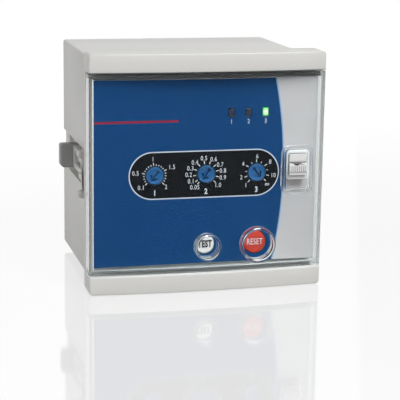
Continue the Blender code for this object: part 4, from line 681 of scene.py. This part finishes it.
def clear_moulding(name, roughness, tint, clearness, shade):
    """Clear polycarbonate: bends light as the real one does, and lets the lamps light what lies behind it.
    Seen square on, its face mirrors little, and its edges and round walls mirror the white surround."""
    material, shader = start_material(name, {"IOR": 1.58, "Transmission Weight": clearness})
    turned_away = add_node(material, "LayerWeight", {}, {"Blend": 0.5}).outputs["Facing"]
    mirror = add_node(material, "MapRange", {}, {
        "Value": turned_away, "From Min": 0.15, "From Max": 0.5, "To Min": 0.04, "To Max": 0.45})
    join(material, mirror.outputs["Result"], shader.inputs["Specular Tint"])
    spot = add_node(material, "TexCoord").outputs["Object"]
    ripple = add_node(material, "TexNoise", {}, {"Vector": spot, "Scale": 1 / (14 * MM), "Detail": 1.0})
    haze = add_node(material, "MapRange", {}, {
        "Value": ripple.outputs["Fac"], "To Min": roughness, "To Max": roughness + 0.02})
    relief = add_node(material, "Bump", {}, {
        "Height": ripple.outputs["Fac"], "Strength": 0.2, "Distance": 0.004 * MM})
    shader.inputs["Base Color"].default_value = linear(tint)
    join(material, haze.outputs["Result"], shader.inputs["Roughness"])
    join(material, relief.outputs["Normal"], shader.inputs["Normal"])
    through = add_node(material, "BsdfTransparent", {}, {"Color": linear(shade)})
    shadow_ray = add_node(material, "LightPath").outputs["Is Shadow Ray"]
    choice = add_node(material, "MixShader", {}, {0: shadow_ray, 1: shader.outputs[0], 2: through.outputs[0]})
    depth = add_node(material, "VolumeAbsorption", {}, {
        "Color": (0.8, 0.8, 0.8, 1.0), "Density": ABSORPTION})
    output = material.node_tree.nodes["Material Output"]
    join(material, choice.outputs[0], output.inputs["Surface"])
    join(material, depth.outputs[0], output.inputs["Volume"])
    return material


# Polycarbonate from a polished tool: clear with a faint cool tint, bright where its edges bend the light
clear_cover_plastic = clear_moulding("polished_clear_polycarbonate", 0.01, "#F7FAFB", 1.0, "#F4F7F8")
fit(cover, clear_cover_plastic, "cover", "clear_polycarbonate", "clear_cover")


# Cover latch
# A small slide in the same clear polycarbonate: a thumb piece with a ramp, a ridge and a step, a guide
# plate behind the tub's floor, and a straight tongue through a slot in the front plate.

THUMB_HALF_X, THUMB_TOP, THUMB_BOTTOM, THUMB_PROUD = 3.6, 6.6, -1.9, 1.2
RAMP_FOOT, RAMP_FALL, RIDGE_BOTTOM, RIDGE_SLOPE = 3.0, 0.95, -0.4, 0.85
NOTCH_BOTTOM, NOTCH_RADIUS, NOTCH_OFFSET = 2.15, 2.0, -0.6
GROOVE_PITCH, GROOVE_DEPTH, GROOVE_HALF, GROOVE_COUNT = 0.8, 0.12, 0.1, 8
LATCH_ROUNDING, PAINTED_SHADE_REACH = 0.05, 1.3
GUIDE_HALF_X, GUIDE_TOP, GUIDE_BOTTOM, GUIDE_CORNER = 4.9, 8.2, -3.85, 1.6
TONGUE_HALF_X, TONGUE_BOTTOM, TONGUE_TOP, TONGUE_END = 1.4, 1.0, 2.5, 7.5
guide_front, guide_rear = tub_floor + TUB_FLOOR + 0.15, tub_floor + TUB_FLOOR + 1.1
thumb_left, thumb_right = tub_x - THUMB_HALF_X, tub_x + THUMB_HALF_X
low_front, ridge_front, thumb_rear = tub_floor - THUMB_PROUD / 2, tub_floor - THUMB_PROUD, guide_front + 0.15

thumb = add_box("latch_slide", (thumb_left, ridge_front, RIDGE_BOTTOM), (thumb_right, thumb_rear, RAMP_FOOT))
bevel_picked(
    thumb, lambda e, middle: along(e, "x") and middle.y < ridge_front + 0.1 and middle.z > 1, RIDGE_SLOPE, 1)
ramp = add_box("ramp", (thumb_left, low_front, RAMP_FOOT - 0.2), (thumb_right, thumb_rear, THUMB_TOP))
select_only(ramp)
bpy.ops.object.mode_set(mode="EDIT")
pick(ramp, "edges", lambda e, middle: along(e, "x") and middle.y < low_front + 0.1 and middle.z < RAMP_FOOT)
bpy.ops.transform.translate(value=(0, RAMP_FALL * MM, 0))
bpy.ops.object.mode_set(mode="OBJECT")
step_down = add_box(
    "step", (thumb_left, low_front, THUMB_BOTTOM), (thumb_right, thumb_rear, RIDGE_BOTTOM + 0.2))
guide = rounded_box("guide", (tub_x - GUIDE_HALF_X, guide_front, GUIDE_BOTTOM),
                    (tub_x + GUIDE_HALF_X, guide_rear, GUIDE_TOP), GUIDE_CORNER, 6)
tongue = add_box("tongue", (tub_x - TONGUE_HALF_X, guide_rear - 0.3, TONGUE_BOTTOM),
                 (tub_x + TONGUE_HALF_X, TONGUE_END, TONGUE_TOP))
combine(thumb, "UNION", ramp, step_down, guide, tongue)
notch = turn("notch", tub_x + NOTCH_OFFSET, NOTCH_BOTTOM + NOTCH_RADIUS, [
    (NOTCH_RADIUS, -4), (NOTCH_RADIUS, 1.0)], 48)
combine(notch, "INTERSECT", add_box(
    "under_the_ramp", (thumb_left, -5, 0), (thumb_right, 2, RAMP_FOOT - 0.05)))
groove_middles = [tub_x + (step - (GROOVE_COUNT - 1) / 2) * GROOVE_PITCH for step in range(GROOVE_COUNT)]
grooves = [
    add_box("groove", (x - GROOVE_HALF, ridge_front - 1, RIDGE_BOTTOM - 0.5),
            (x + GROOVE_HALF, ridge_front + GROOVE_DEPTH, NOTCH_BOTTOM - 0.3))
    for x in groove_middles]
combine(thumb, "DIFFERENCE", notch, *grooves)
round_off(thumb, LATCH_ROUNDING, 2)
# The slide's faces are finely frosted by thumb and tool, so it shows whiter than the cover.
# Its colour is painted darker in its corners and hollows, found by occlusion within the slide: painted shade
frosted_plastic = clear_moulding("frosted_clear_polycarbonate", 0.3, "#FAFAF9", 0.15, "#6E6E6E")
corners = add_node(frosted_plastic, "AmbientOcclusion", {"only_local": True, "samples": 8}, {
    "Distance": PAINTED_SHADE_REACH * MM})
painted_shade_share = add_node(frosted_plastic, "MapRange", {}, {
    "Value": corners.outputs["AO"], "From Min": 0.45, "From Max": 0.95})
# Painted shade: the colour runs from near black in occluded corners to the frost's white elsewhere
frost_and_painted_shade = add_node(frosted_plastic, "Mix", {"data_type": "RGBA"}, {
    0: painted_shade_share.outputs["Result"], 6: linear("#2E3032"), 7: linear("#FAFAF9")})
frosted_shader = frosted_plastic.node_tree.nodes["Principled BSDF"]
join(frosted_plastic, frost_and_painted_shade.outputs[2], frosted_shader.inputs["Base Color"])
fit(thumb, frosted_plastic, "latch", "clear_polycarbonate", "cover_latch")


# Circuit boards and what they carry
# Glass-fibre epoxy boards with green solder mask, in the frame, in the case's ribs and upright at the
# rear; on them the header, the transformers, two output relays, two capacitors and the control chip.

# FR4 under solder mask: glossy green, darker between the copper tracks, which stand out as raised lines
solder_mask, mask_shader = start_material("green_solder_mask_on_fr4", {"IOR": 1.5, "Roughness": 0.3})
mask_spot = add_node(solder_mask, "TexCoord").outputs["Object"]
tracks = add_node(solder_mask, "TexBrick", {"offset": 0.37, "squash": 1.6, "squash_frequency": 3}, {
    "Vector": mask_spot, "Scale": 1 / (9 * MM), "Mortar Size": 0.035,
    "Color1": (1, 1, 1, 1), "Color2": (1, 1, 1, 1), "Mortar": (0, 0, 0, 1)})
mask_tint = add_node(solder_mask, "Mix", {"data_type": "RGBA"}, {
    0: tracks.outputs["Fac"], 6: linear("#10462A"), 7: linear("#2A7A4B")})
track_relief = add_node(solder_mask, "Bump", {}, {
    "Height": tracks.outputs["Fac"], "Strength": 0.6, "Distance": 0.035 * MM})
join(solder_mask, mask_tint.outputs[2], mask_shader.inputs["Base Color"])
join(solder_mask, track_relief.outputs["Normal"], mask_shader.inputs["Normal"])
refinish(solder_mask, "front_circuit_board", "main_circuit_board", "rear_circuit_board")
refinish(glass_filled_black, "board_header", "output_relay_1", "output_relay_2", "control_chip")

# Heat-shrink sleeve on the capacitors: thin dark blue film with a soft shine
sleeve = moulded_plastic("heat_shrunk_pvc_sleeve", "#20304F", "#1B2943", 0.3, 1.0, 0.004)
refinish(sleeve, "capacitor_1", "capacitor_2")


def wound(name, colour, shade, pitch, depth, constants):
    """Something laid in fine parallel turns or leaves: bands across z, each slightly rounded, its colour
    painted darker where the bands dip, as painted shade between the turns.
    """
    material, shader = start_material(name, constants)
    spot = add_node(material, "TexCoord").outputs["Object"]
    bands = add_node(material, "TexWave", {"bands_direction": "Z"}, {
        "Vector": spot, "Scale": math.tau / (20 * pitch * MM), "Distortion": 0.6, "Detail": 1.0})
    tint = add_node(material, "Mix", {"data_type": "RGBA"}, {
        0: bands.outputs["Fac"], 6: linear(shade), 7: linear(colour)})
    relief = add_node(material, "Bump", {}, {
        "Height": bands.outputs["Fac"], "Strength": 0.7, "Distance": depth * MM})
    join(material, tint.outputs[2], shader.inputs["Base Color"])
    join(material, relief.outputs["Normal"], shader.inputs["Normal"])
    return material


# Enamelled copper wire, tape over the mains winding, and the varnished silicon-steel stack
copper_wire = wound("enamelled_copper_wire", "#B4632C", "#5E2C12", 0.5, 0.12, {
    "Metallic": 0.7, "Roughness": 0.35})
polyester_tape = wound("yellow_polyester_tape", "#D9AE33", "#C2962A", 3.0, 0.05, {"Roughness": 0.35})
silicon_steel = wound("varnished_silicon_steel", "#55565A", "#2E2F33", 0.5, 0.05, {
    "Metallic": 0.8, "Roughness": 0.45})
refinish(copper_wire, "current_transformer")
refinish(polyester_tape, "transformer_winding")
refinish(silicon_steel, "transformer_core")


# Rear panel and terminal blocks
# The grey ABS panel that closes the case, with two black terminal blocks standing through it, six
# terminals each. The blocks are moulded in glass-filled polyamide, with a screw well and a wire entry.

rear_panel = round_off(welded_copy("rear_panel", "moulded_rear_panel"), 0.12, 1)
fit(rear_panel, abs_grey, "case", "grey_abs", "rear_panel")

# Glass-filled polyamide: black with a greyish bloom where the fibres come to the surface
block_black = moulded_plastic("glass_filled_black_polyamide", "#232426", "#191A1B", 0.52, 0.3, 0.02)
for side in ("left", "right"):
    block = round_off(welded_copy(f"terminal_block_{side}", f"moulded_terminal_block_{side}"), 0.1, 1)
    fit(block, block_black, "case", "black_plastic", f"terminal_block_{side}")


# Screws
# Small zinc-plated steel screws with a domed head and a cross recess: twelve in the terminals, four in
# the corners of the rear panel and four that hold the front circuit board to its posts.

# Bright zinc plating on steel: a cool metal with fine turning rings and a satin shine
zinc, zinc_shader = start_material("zinc_plated_steel", {"Metallic": 1.0})
zinc_spot = add_node(zinc, "TexCoord").outputs["Object"]
zinc_noise = add_node(zinc, "TexNoise", {}, {"Vector": zinc_spot, "Scale": 1 / (0.5 * MM), "Detail": 3.0})
zinc_tint = add_node(zinc, "Mix", {"data_type": "RGBA"}, {
    0: zinc_noise.outputs["Fac"], 6: linear("#B9BDC0"), 7: linear("#D3D6D8")})
zinc_shine = add_node(zinc, "MapRange", {}, {
    "Value": zinc_noise.outputs["Fac"], "To Min": 0.24, "To Max": 0.42})
join(zinc, zinc_tint.outputs[2], zinc_shader.inputs["Base Color"])
join(zinc, zinc_shine.outputs["Result"], zinc_shader.inputs["Roughness"])


def model_screw(name, x, z, seat, head, height, shank, length):
    """A screw whose head faces the rear: domed head, cross recess, and a shank with a chamfered tip."""
    screw = turn(name, x, z, [
        (shank * 0.5, seat - length), (shank, seat - length + 0.4), (shank, seat),
        (head * 0.97, seat), (head, seat + 0.15), (head, seat + height * 0.55),
        (head * 0.9, seat + height * 0.8), (head * 0.66, seat + height * 0.95),
        (head * 0.3, seat + height)], 40)
    for half_x, half_z in ((head * 0.62, head * 0.13), (head * 0.13, head * 0.62)):
        combine(screw, "DIFFERENCE", add_box("recess", (x - half_x, seat + height * 0.45, z - half_z),
                                             (x + half_x, seat + height + 1, z + half_z)))
    return round_off(screw, 0.05, 1)


def copy_to(piece, name, step):
    """A copy with its own mesh, moved by a step in mm."""
    twin = piece.copy()
    twin.data = piece.data.copy()
    twin.name = twin.data.name = name
    bpy.context.scene.collection.objects.link(twin)
    twin.data.transform(moving(*step))
    return twin


SCREW_SETS = {
    "terminal_screw_left": (6, 2.3, 1.6, 1.2), "terminal_screw_right": (6, 2.3, 1.6, 1.2),
    "rear_panel_screw": (4, 2.5, 1.8, 1.1), "front_board_screw": (4, 2.3, 1.6, 1.2),
}
for kind, (count, head, height, shank) in SCREW_SETS.items():
    first = None
    for number in range(1, count + 1):
        node = f"{kind}_{number}"
        low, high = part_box(node)
        low, high = low / MM - FRAME_ORIGIN, high / MM - FRAME_ORIGIN
        middle = (low + high) / 2
        if first is None:
            seat, first_middle = high.y - height, middle
            first = model_screw(
                f"{kind}_model", middle.x, middle.z, seat, head, height, shank, seat - low.y)
        screw = copy_to(first, f"zinc_{node}", (middle.x - first_middle.x, 0, middle.z - first_middle.z))
        fit(screw, zinc, "case", "zinc_plated_steel", node)
    bpy.data.objects.remove(first)


# Side clips
# One in each side channel: two arms, an arched foot with two round pads that press the switchgear
# panel against the flange, and a grip behind. The clip is grey ABS, the grip a darker grey moulding.

PAD_X, PAD_Z, PAD_RADIUS, PAD_FRONT, PAD_REAR = 48.5, (-10.0, 6.2), 1.5, 14.8, 18.0
CLIP_ROUNDING, GRIP_ROUNDING = 0.12, 0.45

# Mid grey ABS with the same fine grain: duller and darker than the clip it is fixed to
grip_grey = moulded_plastic("moulded_mid_grey_abs", "#A3A4A1", "#9B9C99", 0.5, 0.5, 0.015)
for side, outward in (("left", -1), ("right", 1)):
    clip = welded_copy(f"mounting_clip_{side}", f"moulded_clip_{side}")
    combine(clip, "UNION", *[turn("pad", outward * PAD_X, z, [
        (PAD_RADIUS - 0.6, PAD_FRONT), (PAD_RADIUS - 0.2, PAD_FRONT + 0.15), (PAD_RADIUS, PAD_FRONT + 0.6),
        (PAD_RADIUS, PAD_REAR - 0.3), (PAD_RADIUS - 0.3, PAD_REAR)], 40) for z in PAD_Z])
    round_off(clip, CLIP_ROUNDING)
    fit(clip, abs_grey, f"clip_{side}", "grey_abs", f"mounting_clip_{side}")
    grip = round_off(welded_copy(f"clip_grip_{side}", f"moulded_grip_{side}"), GRIP_ROUNDING, 4)
    fit(grip, grip_grey, f"clip_{side}", "clip_grey", f"clip_grip_{side}")


# Floor, light and camera
# A pale polished floor that runs to a white surround, broad soft lamps above, in front and at the
# sides, and the camera at the photograph's angle, a little above and to the left.

FLOOR_SIZE, FLOOR_DROP = 4.0, 0.0001
SURROUND_LIGHT, MIRROR_SHARE = 0.15, 0.2


def seen_directly(owner):
    """1 on the camera's, mirrored and bent rays that light no surface, and so show the surround; else 0."""
    path = add_node(owner, "LightPath").outputs
    seen = 0.0
    for ray in ("Is Camera Ray", "Is Glossy Ray", "Is Transmission Ray"):
        seen = add_node(owner, "Math", {"operation": "MAXIMUM"}, {0: path[ray], 1: seen}).outputs[0]
    unscattered = add_node(owner, "Math", {"operation": "LESS_THAN"}, {0: path["Diffuse Depth"], 1: 0.5})
    return add_node(owner, "Math", {"operation": "MULTIPLY"}, {0: seen, 1: unscattered.outputs[0]}).outputs[0]


bpy.ops.object.select_all(action="DESELECT")
bpy.ops.mesh.primitive_plane_add(size=FLOOR_SIZE, location=(0, 0, -FLOOR_DROP))
floor = settle("studio_floor")
# Polished white acrylic: nearly white, with a soft mirror image that is weaker than the object
acrylic, acrylic_shader = start_material("polished_white_acrylic", {
    "Base Color": linear("#B4B4B4"), "Roughness": 0.6, "Specular IOR Level": 0.0})
away = add_node(acrylic, "VectorMath", {"operation": "LENGTH"}, {
    0: add_node(acrylic, "TexCoord").outputs["Object"]})
whiteness = add_node(acrylic, "MapRange", {"interpolation_type": "SMOOTHSTEP"}, {
    "Value": away.outputs["Value"], "From Min": 0.08, "From Max": 0.45, "To Min": 0.88, "To Max": 1.0})
white_share = add_node(acrylic, "Math", {"operation": "MULTIPLY"}, {
    0: seen_directly(acrylic), 1: whiteness.outputs["Result"]})
glow = add_node(acrylic, "Emission", {}, {"Color": (1, 1, 1, 1), "Strength": 1.0})
lit_floor = add_node(acrylic, "MixShader", {}, {
    0: white_share.outputs[0], 1: acrylic_shader.outputs[0], 2: glow.outputs[0]})
mirror = add_node(acrylic, "BsdfGlossy", {}, {"Color": (1, 1, 1, 1), "Roughness": 0.06})
polished = add_node(acrylic, "MixShader", {}, {
    0: MIRROR_SHARE, 1: lit_floor.outputs[0], 2: mirror.outputs[0]})
join(acrylic, polished.outputs[0], acrylic.node_tree.nodes["Material Output"].inputs["Surface"])
floor.data.materials.append(acrylic)

world = bpy.data.worlds.new("white_surround")
bpy.context.scene.world = world
world.use_nodes = True
surround = world.node_tree.nodes["Background"]
surround.inputs["Color"].default_value = (1, 1, 1, 1)
surround_strength = add_node(world, "MapRange", {}, {
    "Value": seen_directly(world), "To Min": SURROUND_LIGHT, "To Max": 1.0})
join(world, surround_strength.outputs["Result"], surround.inputs["Strength"])

TARGET = Vector((0.0, -0.02, 0.048))
LAMPS = (
    ("key_softbox", (0.25, -0.62, 0.72), 0.4, 6.7),
    ("left_softbox", (-0.8, -0.35, 0.3), 0.6, 2.2),
    ("rear_softbox", (0.1, 0.85, 0.25), 0.6, 0.2),
)
for name, spot, size, power in LAMPS:
    lamp = bpy.data.objects.new(name, bpy.data.lights.new(name, "AREA"))
    lamp.data.shape, lamp.data.size, lamp.data.energy = "SQUARE", size, power
    lamp.location = spot
    lamp.rotation_euler = (TARGET - Vector(spot)).to_track_quat("-Z", "Y").to_euler()
    bpy.context.scene.collection.objects.link(lamp)

CAMERA_SPOT = place(-140.7, -531.0, 110.8)
CAMERA_AZIMUTH, CAMERA_ELEVATION, CAMERA_ROLL = map(math.radians, (-14.512, 12.495, 0.875))
CAMERA_SENSOR = 36
CAMERA_LENS = CAMERA_SENSOR * 1410.22 / 400
camera = bpy.data.objects.new("camera", bpy.data.cameras.new("camera"))
camera.data.lens, camera.data.sensor_width = CAMERA_LENS, CAMERA_SENSOR
camera.data.clip_start, camera.data.clip_end = 0.01, 10
camera.location = CAMERA_SPOT
camera.rotation_mode = "QUATERNION"
ahead = Vector((-math.sin(CAMERA_AZIMUTH) * math.cos(CAMERA_ELEVATION),
                math.cos(CAMERA_AZIMUTH) * math.cos(CAMERA_ELEVATION), -math.sin(CAMERA_ELEVATION)))
level = Vector((math.cos(CAMERA_AZIMUTH), math.sin(CAMERA_AZIMUTH), 0))
upward = level.cross(ahead)
across = math.cos(CAMERA_ROLL) * level + math.sin(CAMERA_ROLL) * upward
above = across.cross(ahead)
camera.rotation_quaternion = Matrix((across, above, -ahead)).transposed().to_quaternion()
bpy.context.scene.collection.objects.link(camera)
bpy.context.scene.camera = camera
bpy.context.scene.view_settings.view_transform = "Standard"
